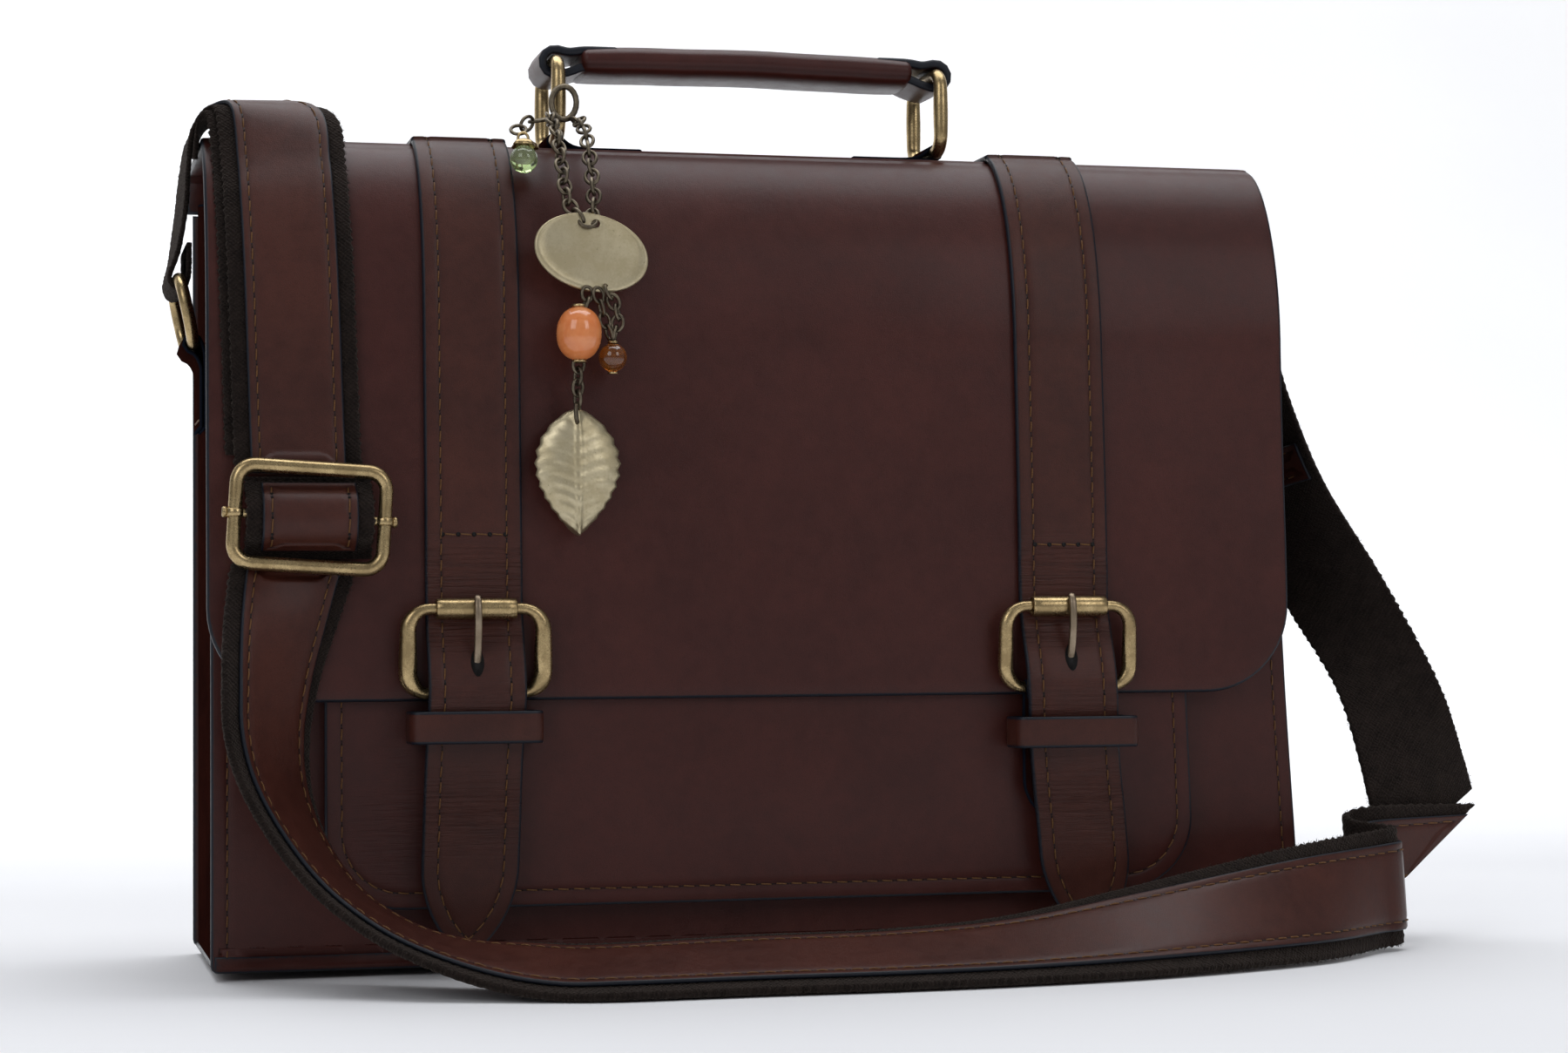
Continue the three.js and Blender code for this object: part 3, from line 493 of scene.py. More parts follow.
def panel(name, side, columns, place, thickness, body, material, stands_for=(), row=None,
          rows_on=(1, 1, 1, 1), round_edge=0.8, crown=0.25, dip=0.28, wear=None, bend=None, pitch=5.2):
    """A leather piece cut to a pattern. rows_on says where the sewn row runs: left, end, right, start."""
    left = side(0)[0]
    n = len(left)
    ring_size = 2 * n + 2 * (columns - 1)
    flags = np.concatenate([np.full(n, rows_on[0]), np.full(columns - 1, rows_on[1]),
                            np.full(n, rows_on[2]), np.full(columns - 1, rows_on[3])]).astype(float)
    insets = [(0.0, 0.5, 1.0), (0.3 * round_edge, 0.86, 1.0), (round_edge, 1.0, 0.5),
              (round_edge + 0.5, 1.0, 0.12)]
    if row:
        insets += [(row - 1.3, 1.0, 0.0), (row - 0.5, 1.0, 0.0), (row, 1.0, 0.0), (row + 0.5, 1.0, 0.0),
                   (row + 1.3, 1.0, 0.0)]
    insets.append(((row or round_edge) + 3.0, 1.0, 0.0))
    points, heights, edges, seams = [], [], [], []

    def shape(d, share):
        swell = crown * (1 - math.exp(-max(0.0, d - round_edge) / 3.0)) if d >= round_edge else 0.0
        return share * thickness + swell

    for d, share, edge in insets:
        ring = pattern_ring(side, columns, d)
        # near marks the sewn row: the surface dips there, and the shader darkens it as painted shade.
        near = math.exp(-((d - row) / 0.62) ** 2) if row else 0.0
        points.append(ring)
        heights.append(shape(d, share) - dip * near * flags)
        edges.append(np.full(ring_size, edge))
        seams.append(near * flags)
    inner_left, inner_right = side(insets[-1][0])
    t = np.linspace(0, 1, columns + 1)[1:-1]

    def inside(lefts, rights):
        rows = lefts[1:-1, None, :] + (rights - lefts)[1:-1, None, :] * t[None, :, None]
        return rows.reshape(-1, 2)

    def add_rows(points2, height, edge, seam_shade):
        points.append(points2)
        heights.append(np.full(len(points2), height))
        edges.append(np.full(len(points2), edge))
        seams.append(np.full(len(points2), seam_shade))

    add_rows(inside(inner_left, inner_right), shape(insets[-1][0], 1.0), 0.0, 0.0)
    front_rings = len(insets)
    back = [(0.3 * round_edge, 0.14, 1.0), (round_edge, 0.0, 0.5), (round_edge + 3.0, 0.0, 0.0)]
    for d, share, edge in back:
        add_rows(pattern_ring(side, columns, d), share * thickness, edge, 0.0)
    back_left, back_right = side(back[-1][0])
    add_rows(inside(back_left, back_right), 0.0, 0.0, 0.0)

    faces = []

    def join(first, second):
        for i in range(ring_size):
            j = (i + 1) % ring_size
            faces.append((first + i, first + j, second + j, second + i))

    def fill(ring, block):
        def index(j, c):
            if c == 0:
                return ring + j
            if c == columns:
                return ring + n + (columns - 1) + (n - 1 - j)
            if j == n - 1:
                return ring + n + c - 1
            if j == 0:
                return ring + 2 * n + (columns - 1) + (columns - 1 - c)
            return block + (j - 1) * (columns - 1) + c - 1
        for j in range(n - 1):
            for c in range(columns):
                faces.append((index(j, c), index(j, c + 1), index(j + 1, c + 1), index(j + 1, c)))

    for k in range(front_rings - 1):
        join(k * ring_size, (k + 1) * ring_size)
    block = front_rings * ring_size
    fill((front_rings - 1) * ring_size, block)
    back_start = block + (n - 2) * (columns - 1)
    join(0, back_start)
    for k in range(len(back) - 1):
        join(back_start + k * ring_size, back_start + (k + 1) * ring_size)
    back_block = back_start + len(back) * ring_size
    fill(back_start + (len(back) - 1) * ring_size, back_block)

    flat = np.concatenate(points)
    height = np.concatenate(heights)
    solid = place(flat[:, 0], flat[:, 1], height)
    worn = wear(flat[:, 0], flat[:, 1]) if wear else np.zeros(len(flat))
    attributes = {
        "edge": np.concatenate(edges), "seam_shade": np.concatenate(seams), "wear": worn,
        "surf": np.column_stack([flat, height]),
    }
    made = add_object(name, solid, faces, [material], None if bend else body, stands_for, attributes)
    if bend:
        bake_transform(made)
    if row:
        ring = pattern_ring(side, columns, row)
        runs = sewn_runs(ring, flags)
        surface = shape(row, 1.0) - dip
        sew(f"{name}_stitching", runs, place, surface, body, bend, pitch)
    return made


def sewn_runs(ring, flags):
    """The stretches of the ring that carry the sewn row."""
    wrapped = np.concatenate([ring, ring[:1]])
    on = np.concatenate([flags, flags[:1]]) > 0
    if on.all():
        return [wrapped]
    runs, current = [], []
    start = next(i for i in range(len(flags)) if not on[i])
    order = [(start + k) % len(ring) for k in range(len(ring) + 1)]
    for i in order:
        if on[i]:
            current.append(wrapped[i])
        elif current:
            runs.append(np.array(current))
            current = []
    if current:
        runs.append(np.array(current))
    return [run for run in runs if len(run) > 1]


STITCH_RADIUS = 0.27
STITCH_GAP = 0.5
STITCH_LEAN = 0.16
HOLE_RADIUS = 0.8


def sew(name, runs, place, surface, body, bend=None, pitch=5.2):
    """A row of stitches along each run of the pattern, each between two needle holes drawn as dark discs of
    painted shade.
    """
    parts = Parts()
    for run in runs:
        at = lengths(run)
        count = max(1, int(round(at[-1] / pitch)))
        places = np.linspace(0, at[-1], count + 1)
        for k in range(count):
            span = np.linspace(places[k] + STITCH_GAP, places[k + 1] - STITCH_GAP, 7)
            line = np.stack([np.interp(span, at, run[:, 0]), np.interp(span, at, run[:, 1])], 1)
            arch = np.array([-0.34, 0.06, 0.2, 0.24, 0.2, 0.06, -0.34])
            slant = np.linspace(-STITCH_LEAN, STITCH_LEAN, 7)
            along = unit(line[-1] - line[0])
            line = line + np.array([-along[1], along[0]]) * slant[:, None]
            core = place(line[:, 0], line[:, 1], surface + arch)
            outer = place(line[:, 0], line[:, 1], surface + arch + 1.0)
            parts.add(*rod(core, outer - core, STITCH_RADIUS, (0.5, 0.92, 1.0, 1.02, 1.0, 0.92, 0.5)), 0)
        # Each needle hole is a dark disc: painted shade of the hole.
        for spot in places:
            centre = np.array([np.interp(spot, at, run[:, 0]), np.interp(spot, at, run[:, 1])])
            turn = np.arange(8) * math.pi / 4
            rim = centre + HOLE_RADIUS * np.stack([np.cos(turn), np.sin(turn)], 1)
            flat = np.concatenate([rim, [centre], [centre]])
            height = np.concatenate([np.full(8, surface + 0.07), [surface + 0.02], [surface - 0.4]])
            faces = [(i, (i + 1) % 8, 8) for i in range(8)] + [((i + 1) % 8, i, 9) for i in range(8)]
            parts.add(place(flat[:, 0], flat[:, 1], height), faces, 1)
    made = parts.build(name, [THREAD, HOLE_SHADE], None if bend else body)
    if bend:
        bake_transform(made)
    return made


def rod(core, up, radius, swell=None, sides=6):
    """A round rod along the core points, with closed ends. up leans the section, swell scales its radius."""
    core = np.asarray(core, float)
    along = unit(np.gradient(core, axis=0))
    first = unit(np.asarray(up) - (np.asarray(up) * along).sum(1, keepdims=True) * along)
    second = np.cross(along, first)
    scale = np.ones(len(core)) if swell is None else np.asarray(swell, float)
    turn = np.arange(sides) * 2 * math.pi / sides
    ring = (np.cos(turn)[None, :, None] * first[:, None, :]
            + np.sin(turn)[None, :, None] * second[:, None, :])
    points = (core[:, None, :] + ring * (radius * scale)[:, None, None]).reshape(-1, 3)
    faces = []
    for i in range(len(core) - 1):
        for s in range(sides):
            t = (s + 1) % sides
            faces.append((i * sides + s, i * sides + t, (i + 1) * sides + t, (i + 1) * sides + s))
    last = (len(core) - 1) * sides
    faces.append(tuple(range(sides))[::-1])
    faces.append(tuple(range(last, last + sides)))
    return points, faces


def ring_of(core, radius, sides=14, flatten=None):
    """A closed loop of round wire. radius may vary along it, and flatten scales its section's depth."""
    core = np.asarray(core, float)
    along = unit(np.roll(core, -1, axis=0) - np.roll(core, 1, axis=0))
    middle = core.mean(axis=0)
    plane = unit(np.cross(core[0] - middle, core[len(core) // 4] - middle))
    out = unit(np.cross(along, plane))
    radii = np.broadcast_to(np.asarray(radius, float), (len(core),))
    deep = radii if flatten is None else radii * np.broadcast_to(np.asarray(flatten, float), (len(core),))
    turn = np.arange(sides) * 2 * math.pi / sides
    points = (core[:, None, :] + out[:, None, :] * (np.cos(turn)[None, :] * radii[:, None])[..., None]
              + plane[None, None, :] * (np.sin(turn)[None, :] * deep[:, None])[..., None])
    faces = []
    for i in range(len(core)):
        j = (i + 1) % len(core)
        for s in range(sides):
            t = (s + 1) % sides
            faces.append((i * sides + s, i * sides + t, j * sides + t, j * sides + s))
    return points.reshape(-1, 3), faces


def rounded_loop(half_a, half_b, radius, per_corner=7, per_side=6):
    """The centre line of a rectangle with rounded corners, as points in (a, b)."""
    line = []
    corners = ((1, 1, 0), (-1, 1, 1), (-1, -1, 2), (1, -1, 3))
    for k, (sign_a, sign_b, quarter) in enumerate(corners):
        turn = (quarter + np.linspace(0, 1, per_corner)) * math.pi / 2
        arc = np.stack([sign_a * (half_a - radius) + radius * np.cos(turn),
                        sign_b * (half_b - radius) + radius * np.sin(turn)], 1)
        line.append(arc)
        next_a, next_b, next_quarter = corners[(k + 1) % 4]
        begin = np.array([next_a * (half_a - radius) + radius * math.cos(next_quarter * math.pi / 2),
                          next_b * (half_b - radius) + radius * math.sin(next_quarter * math.pi / 2)])
        t = np.linspace(0, 1, per_side + 2)[1:-1, None]
        line.append(arc[-1] + (begin - arc[-1]) * t)
    return np.concatenate(line)


def lathe(profile, origin, axis, sides=32):
    """A turned piece: profile is (along the axis, radius), from pole to pole or a closed outline."""
    axis = Vector(axis).normalized()
    across = axis.orthogonal().normalized()
    other = axis.cross(across)
    a, b, c = np.array(axis), np.array(across), np.array(other)
    origin = np.asarray(origin, float)
    poles = profile[0][1] == 0
    rings = profile[1:-1] if poles else profile
    turn = np.arange(sides) * 2 * math.pi / sides
    points = []
    for along, radius in rings:
        points.append(origin + a * along + radius * (np.outer(np.cos(turn), b) + np.outer(np.sin(turn), c)))
    points = np.concatenate(points)
    faces = []
    count = len(rings)
    for i in range(count - 1 if poles else count):
        j = (i + 1) % count
        for s in range(sides):
            t = (s + 1) % sides
            faces.append((i * sides + s, i * sides + t, j * sides + t, j * sides + s))
    if poles:
        first, last = len(points), len(points) + 1
        points = np.concatenate([points, [origin + a * profile[0][0]], [origin + a * profile[-1][0]]])
        end = (count - 1) * sides
        for s in range(sides):
            t = (s + 1) % sides
            faces.append((first, t, s))
            faces.append((last, end + s, end + t))
    return points, faces


def swept(core, first, second, section, closed=True):
    """A section, given as (along first, along second) pairs, carried along the core."""
    core, first, second = np.asarray(core, float), np.asarray(first, float), np.asarray(second, float)
    section = np.asarray(section, float)
    if section.ndim == 2:
        section = np.broadcast_to(section, (len(core),) + section.shape)
    n = section.shape[1]
    points = (core[:, None, :] + first[:, None, :] * section[..., 0:1]
              + second[:, None, :] * section[..., 1:2])
    faces = []
    for i in range(len(core) if closed else len(core) - 1):
        j = (i + 1) % len(core)
        for s in range(n):
            t = (s + 1) % n
            faces.append((i * n + s, i * n + t, j * n + t, j * n + s))
    if not closed:
        faces.append(tuple(range(n))[::-1])
        faces.append(tuple(range((len(core) - 1) * n, len(core) * n)))
    return points.reshape(-1, 3), faces


# ---- surfaces that the leather is laid on ----

FLAP_SIDES = (-187.0, 179.0)
FLAP_THICKNESS = 2.4
FLAP_BOTTOM = 88.5
STRAP_X = {"left": -102.5, "right": 97.0}
TONGUE_LEAN = {"left": -2.5, "right": 9.0}
HEEL = (-66.2, 91.0)
ROLLER = (-68.4, 118.0)


def planar_path(line, plane, centre, half_width, outward=1):
    """A strip that runs along a line in the yz or xz plane and lies straight across it."""
    line = np.asarray(line, float)
    tangent = unit(np.gradient(line, axis=0))
    normal = outward * np.stack([tangent[:, 1], -tangent[:, 0]], 1)
    zero = np.zeros(len(line))
    one = np.ones(len(line))
    if plane == "yz":
        return Path(np.stack([zero + centre, line[:, 0], line[:, 1]], 1), np.outer(one, (half_width, 0, 0)),
                    np.stack([zero, normal[:, 0], normal[:, 1]], 1))
    return Path(np.stack([line[:, 0], zero + centre, line[:, 1]], 1), np.outer(one, (0, half_width, 0)),
                np.stack([normal[:, 0], zero, normal[:, 1]], 1))


def arc(centre, radius, start, end, count):
    """Points on a circle in a plane, angles in degrees."""
    turn = np.radians(np.linspace(start, end, count))
    return np.stack([centre[0] + radius * np.cos(turn), centre[1] + radius * np.sin(turn)], 1)


def flap_line(inward):
    """The flap's outer line in (y, z) from the rear over the top to the front, drawn inward."""
    turn = np.linspace(0, math.pi / 2, 33)
    crown = np.stack([-26 - (32.8 - inward) * np.sin(turn), 205 + (67.8 - inward) * np.cos(turn)], 1)
    rear = arc((37, 260.8), 12 - inward, 0, 90, 9)
    front = -61.7 + inward
    return np.concatenate([[[49 - inward, 258]], rear, crown, [[front + 1.2, 160], [front + 0.1, 125]],
                           [[front, FLAP_BOTTOM]]])


def wave(x, z, seed, reach):
    """Gentle hand-worked unevenness of a sheet, in millimetres."""
    return reach * np.array([noise.noise(Vector((a * 0.011, b * 0.013, seed))) for a, b in zip(x, z)])


def flap_wave(points):
    """Moves points that lie on the flap's front with its unevenness."""
    points = points.copy()
    z = points[:, 2]
    fade = np.clip((264 - z) / 40, 0, 1) * np.clip((z - 125) / 35, 0, 1) * (points[:, 1] < 0)
    points[:, 1] -= wave(points[:, 0], z, 4.2, 1.3) * fade
    return points


def on_flap(place):
    def laid(u, v, h):
        return flap_wave(place(u, v, h))
    return laid


def flare(points):
    """Leans the body's right side in towards the top, as the soft bag stands."""
    points = points.copy()
    lean = np.interp(points[:, 2], (0, 30, 90, 150, 257), (1.8, 1.6, -1.7, -4.6, -8.0))
    points[:, 0] += np.clip(points[:, 0] / 185, 0, 1) ** 2 * lean
    return points


def facing(y, top, outward=-1.0, seed=0.0, reach=0.0, bulge=None):
    """A sheet that faces front (outward -1) or back, its pattern's v measured down from the top."""
    def laid(u, v, h):
        x, z = np.asarray(u, float), top - np.asarray(v, float)
        swell = wave(x, z, seed, reach) * np.clip(np.asarray(v, float) / 40, 0, 1)
        if bulge:
            swell = swell + bulge(x, z)
        return flare(np.stack([x, y + outward * (h + swell), z], 1))
    return laid


# ---- body ----

def build_body():
    panel("front_leather", pouch_shape(-185, 185, 0, 233.7, 2.5, 6, 4), 30,
          facing(-46.6, 236, -1, 1.5, 0.9), 2.4, "case", SHELL,
          ["front_panel"], row=5.2, rows_on=(1, 0, 1, 0))
    panel("back_leather", pouch_shape(-185, 185, 0, 255.2, 2.5, 6, 4), 30,
          facing(46.2, 257.5, 1, 2.5, 1.2), 2.2, "case", SHELL,
          ["back_panel"], row=5.2, rows_on=(1, 0, 1, 0))

    base_line = smooth_corner(-49.3, 49.3, 2.2, 8.0)
    path = planar_path(base_line, "yz", 0, 1, -1)
    laid = path.place()
    panel("base_leather", pouch_strip(-184, 184, path, 3.0), 40, lambda u, v, h: flare(laid(u, v, h)), 2.2,
          "case",
          SHELL, ["base_panel"], row=3.4, rows_on=(0, 1, 0, 1))

    for side, sign in (("left", -1), ("right", 1)):
        plan = np.concatenate([[[-46.1 + 0.0, 171.5]], [[-46.2, 176]], arc((-43.2, 180.4), 3.1, 180, 90, 6),
                               arc((43.2, 180.4), 3.1, 90, 0, 6), [[46.2, 176]], [[46.1, 171.5]]])
        at = lengths(plan)
        tangent = unit(np.gradient(plan, axis=0))
        normal = np.stack([-tangent[:, 1], tangent[:, 0]], 1)

        def laid(u, v, h, plan=plan, at=at, normal=normal, sign=sign):
            y, x = np.interp(u, at, plan[:, 0]), np.interp(u, at, plan[:, 1])
            ny, nx = np.interp(u, at, normal[:, 0]), np.interp(u, at, normal[:, 1])
            top = 249.5 + (np.clip(y, -46.3, 46.3) + 46.3) / 92.6 * 12
            z = 2.6 + np.asarray(v) / 250 * (top - 2.6)
            sag = 5.5 * np.cos(y / 46.5 * math.pi / 2) ** 2 * np.clip((z - 15) / 60, 0, 1) * np.clip(
                (270 - z) / 60, 0, 1) * (0.75 + 0.25 * np.sin(z / 31 + sign))
            tab = np.exp(-((z - 190) / 34) ** 2) * np.exp(-(y / 30) ** 2)
            sag = sag * (1 - 0.98 * tab)
            return flare(np.stack([sign * (x + nx * (h - 2.0) - sag), y + ny * (h - 2.0), z], 1))
        stations = even(0, 250, 5)
        width = at[-1]
        # The gussets use the darker copy of the leather: painted shade on the bag's sides.
        panel(f"gusset_leather_{side}", rect_shape(0, width, stations), 34, laid, 2.0, "case",
              SHADED_LEATHER, [f"gusset_{side}"], crown=0.0)

    build_lining()
    build_pocket()


def smooth_corner(y0, y1, floor, top):
    """A U-shaped line with rounded lower corners, in (y, z)."""
    bend = 3.0
    return np.concatenate([[[y0, top]], [[y0, floor + bend + 0.8]],
                           arc((y0 + bend, floor + bend), bend, 180, 270, 7),
                           np.stack([np.linspace(y0 + bend + 4, y1 - bend - 4, 14), np.full(14, floor)], 1),
                           arc((y1 - bend, floor + bend), bend, 270, 360, 7), [[y1, floor + bend + 0.8]],
                           [[y1, top]]])


def rect_shape(left, right, stations):
    """A rectangle with its rows at the given stations."""
    start, end = stations[0], stations[-1]

    def side(d):
        v = np.clip(stations, start + d, end - d)
        return np.stack([np.full(len(v), left + d), v], 1), np.stack([np.full(len(v), right - d), v], 1)
    return side


def pouch_strip(left, right, path, step):
    """A rectangle with a row wherever its path has a point."""
    return rect_shape(left, right,
                      np.unique(np.round(np.concatenate([path.at, even(0, path.length, step)]), 3)))


def build_lining():
    half_x, half_y, floor, top, bend = 171.2, 43.6, 3.0, 230.0, 8.0
    corner = rounded_loop(half_x, half_y, bend, 7, 14)
    rows = []

    def ring(scale, z, inset):
        if scale is None:
            line = corner * np.array([(half_x - inset) / half_x, (half_y - inset) / half_y])
        else:
            line = corner * scale
        ripple = np.array([noise.noise(Vector((p[0] * 0.03, p[1] * 0.05, z * 0.02))) for p in corner])
        shrink = 1 - np.clip((z - 6) / 30, 0, 1) * (1.2 + 1.6 * ripple) / 60
        y = line[:, 1] * shrink
        return np.column_stack([line[:, 0], y, np.full(len(line), z)])
    for scale in (0.04, 0.3, 0.6, 0.85):
        rows.append(ring(scale, floor, 0))
    for z in (floor + 0.2, floor + 1.5, *even(floor + 8, top - 2, 7), top):
        rows.append(ring(None, z, 0 if z > floor + 1 else 1.5))
    rows.append(ring(None, top + 0.2, 0.35))
    for z in (*even(top - 2, floor + 9, 7), floor + 2.2):
        rows.append(ring(None, z, 0.7 if z > floor + 3 else 1.8))
    for scale in (0.85, 0.6, 0.3, 0.04):
        rows.append(ring(scale, floor + 0.8, 0))
    points = np.concatenate(rows)
    n = len(corner)
    faces = []
    for i in range(len(rows) - 1):
        for s in range(n):
            t = (s + 1) % n
            faces.append((i * n + s, i * n + t, (i + 1) * n + t, (i + 1) * n + s))
    faces.append(tuple(range(n)))
    faces.append(tuple(range((len(rows) - 1) * n, len(rows) * n))[::-1])
    lining = add_object("lining_bag", points, faces, [LINING], "case", ["lining"])


POCKET = (-149.7, 144.1, 21.7, 112.0, 25.0)


def pocket_bulge(x, z):
    """The pocket stands out a little in its lower middle and draws in beside the magnets."""
    bulge = 1.6 * np.exp(-(x / 42) ** 2) * np.exp(-((z - 52) / 30) ** 2)
    return bulge - 0.5 * np.exp(-((np.abs(x) - 133) / 14) ** 2)


def build_pocket():
    left, right, bottom, top, corner = POCKET
    panel("pocket_leather", pouch_shape(left, right, 0, top - bottom, corner, 4, 12), 48,
          facing(-55.5, top, -1, 6.5, 0.7, pocket_bulge), 2.2, "case", SHELL,
          ["pocket_front"], row=5.4, rows_on=(1, 1, 1, 0), wear=scuffed)
    wall = pattern_side(left + 3, right - 3, top - 4, bottom + 3, corner - 3)
    at = lengths(wall)
    tangent = unit(np.gradient(wall, axis=0))
    normal = np.stack([tangent[:, 1], -tangent[:, 0]], 1)

    def laid(u, v, h):
        x, z = np.interp(v, at, wall[:, 0]), np.interp(v, at, wall[:, 1])
        nx, nz = np.interp(v, at, normal[:, 0]), np.interp(v, at, normal[:, 1])
        return flare(np.stack([x - nx * (1.8 - h), np.asarray(u, float), z - nz * (1.8 - h)], 1))
    stations = np.unique(np.round(np.concatenate([at, even(0, at[-1], 6)]), 2))
    # The pocket's side uses the darker copy of the leather: painted shade of the gap under the pocket.
    panel("pocket_side_leather", rect_shape(-55.1, -49.5, stations), 3, laid, 1.8, "case",
          SHADED_LEATHER,
          ["pocket_gusset"], round_edge=0.6, crown=0.0)


def pattern_side(left, right, top, bottom, corner):
    """The pocket's wall line in (x, z): down the left, along the bottom, up the right."""
    return np.concatenate([[[left, top]], arc((left + corner, bottom + corner), corner, 180, 270, 10),
                           arc((right - corner, bottom + corner), corner, 270, 360, 10), [[right, top]]])


def scuffed(u, v):
    """A rubbed, scratched patch low on the left."""
    return 0.5 * np.exp(-((u + 118) / 22) ** 2 - ((v - 62) / 20) ** 2)


# ---- flap ----

def build_flap():
    path = planar_path(resample(smooth_line(flap_line(FLAP_THICKNESS), 4), 150), "yz", 0, 1)
    shape = pouch_shape(FLAP_SIDES[0], FLAP_SIDES[1], 0, path.length, 30, 3.4, 14)
    panel("flap_leather", shape, 56, on_flap(path.place()), FLAP_THICKNESS, "flap", SHELL,
          ["flap_panel"], round_edge=0.9)


# ---- closing straps, buckles, keepers, tabs and magnets ----

STRAP_WIDTH = 31.6
STRAP_THICKNESS = 2.2
CROSS_ROW = {"left": 142.8, "right": 140.1}


def closing_path(side):
    line = [p for p in flap_line(-0.3) if p[1] > 130 and p[0] < 30]
    line = [[30, 273.1]] + line[1:] + [
        [-61.75, 140], [-61.95, 130], [-62.1, 122], [-62.8, 116], [-65.2, 108.5], [-68.2, 101], [-70.1, 95],
        [-70.6, 91], [-70.1, 87], [-69, 83.5], [-67.4, 78], [-65.6, 69], [-64.6, 56], [-63.9, 42],
        [-63.1, 30], [-62.3, 18], [-61.6, 6]]
    line = resample(smooth_line(line, 6), 220)
    path = planar_path(line, "yz", STRAP_X[side], STRAP_WIDTH / 2)
    down = np.clip((HEEL[1] - path.middle[:, 2]) / (HEEL[1] - 6), 0, None)
    path.middle[:, 0] += TONGUE_LEAN[side] * down
    path.at = lengths(path.middle)
    path.length = path.at[-1]
    return path


def length_at(path, z):
    """How far along a path it passes down through a height."""
    below = np.flatnonzero((path.middle[:, 2] <= z) & (path.middle[:, 1] < 0))[0]
    return path.at[below]


def build_closure(side):
    x = STRAP_X[side]
    path = closing_path(side)
    laid = on_flap(path.place(0, STRAP_WIDTH / 2))
    marks = [length_at(path, z) for z in (131, 110, 88, 54)]

    def wear(u, v):
        return np.clip(sum(k * np.exp(-((v - m) / w) ** 2) for k, m, w in zip(
            (0.9, 0.75, 0.5, 0.7), marks, (9, 6, 9, 12))), 0, 1)

    def place(u, v, h):
        fold = 0.28 * np.sin((v - marks[0]) / 3.3 + 0.06 * u) * np.exp(-((v - marks[0]) / 8) ** 2)
        fold = fold + 0.3 * np.sin((v - marks[3]) / 4.2 + 0.05 * u) * np.exp(-((v - marks[3]) / 12) ** 2)
        return laid(u, v, h + fold)
    panel(f"closing_strap_leather_{side}", tongue_shape(STRAP_WIDTH, 0, path.length, 30, 2.2), 10, place,
          STRAP_THICKNESS, "flap", STRAP, [f"closing_strap_{side}"], row=5.2,
          rows_on=(1, 1, 1, 1), wear=wear, crown=0.15)
    across = length_at(path, CROSS_ROW[side])
    reach = STRAP_WIDTH / 2 - 5.6
    surface = STRAP_THICKNESS + 0.15
    run = np.array([[-reach, across], [reach, across]])
    sew(f"closing_strap_cross_stitch_{side}", [run], place, surface, "flap")
    # The prong's slot is a dark lens laid on the strap: painted shade of the punched hole.
    slot = length_at(path, 101.5)
    turn = np.arange(16) * math.pi / 8
    rim = np.stack([2.2 * np.sin(turn), slot + 4.6 * np.cos(turn) * (0.75 + 0.25 * np.abs(np.cos(turn)))],
                   1)
    parts = Parts()
    flat = np.concatenate([rim, [[0, slot], [0, slot]]])
    height = np.concatenate([np.full(16, surface + 0.04), [surface + 0.02], [surface - 0.6]])
    faces = [(i, (i + 1) % 16, 16) for i in range(16)] + [((i + 1) % 16, i, 17) for i in range(16)]
    parts.add(place(flat[:, 0], flat[:, 1], height), faces)
    parts.build(f"prong_slot_shade_{side}", [HOLE_SHADE], "flap")

    build_buckle(side, x)
    build_buckle_tab(side, x)
    down = {"left": (HEEL[1] - 80.2) / 85, "right": (HEEL[1] - 76) / 85}[side]
    build_keeper(side, x + TONGUE_LEAN[side] * down, {"left": 80.2, "right": 76.0}[side])
    for kind, y, body, facing_y in (("stud", -60.25, "flap", 1), ("socket", -58.55, "case", -1)):
        disc = [(-0.55, 0), (-0.55, 6.8), (-0.3, 7.8), (0, 8.0), (0.3, 7.8), (0.55, 7.0), (0.5, 6.2),
                (0.2, 5.6),
                (0.15, 4.2), (0.45, 3.6), (0.5, 2.4), (0.1, 1.7), (0.05, 0)]
        parts = Parts()
        parts.add(*lathe(disc, (x, y, 60), (0, facing_y, 0), 40))
        parts.build(f"magnet_{kind}_disc_{side}", [BRASS], body, [f"magnet_{kind}_{side}"])


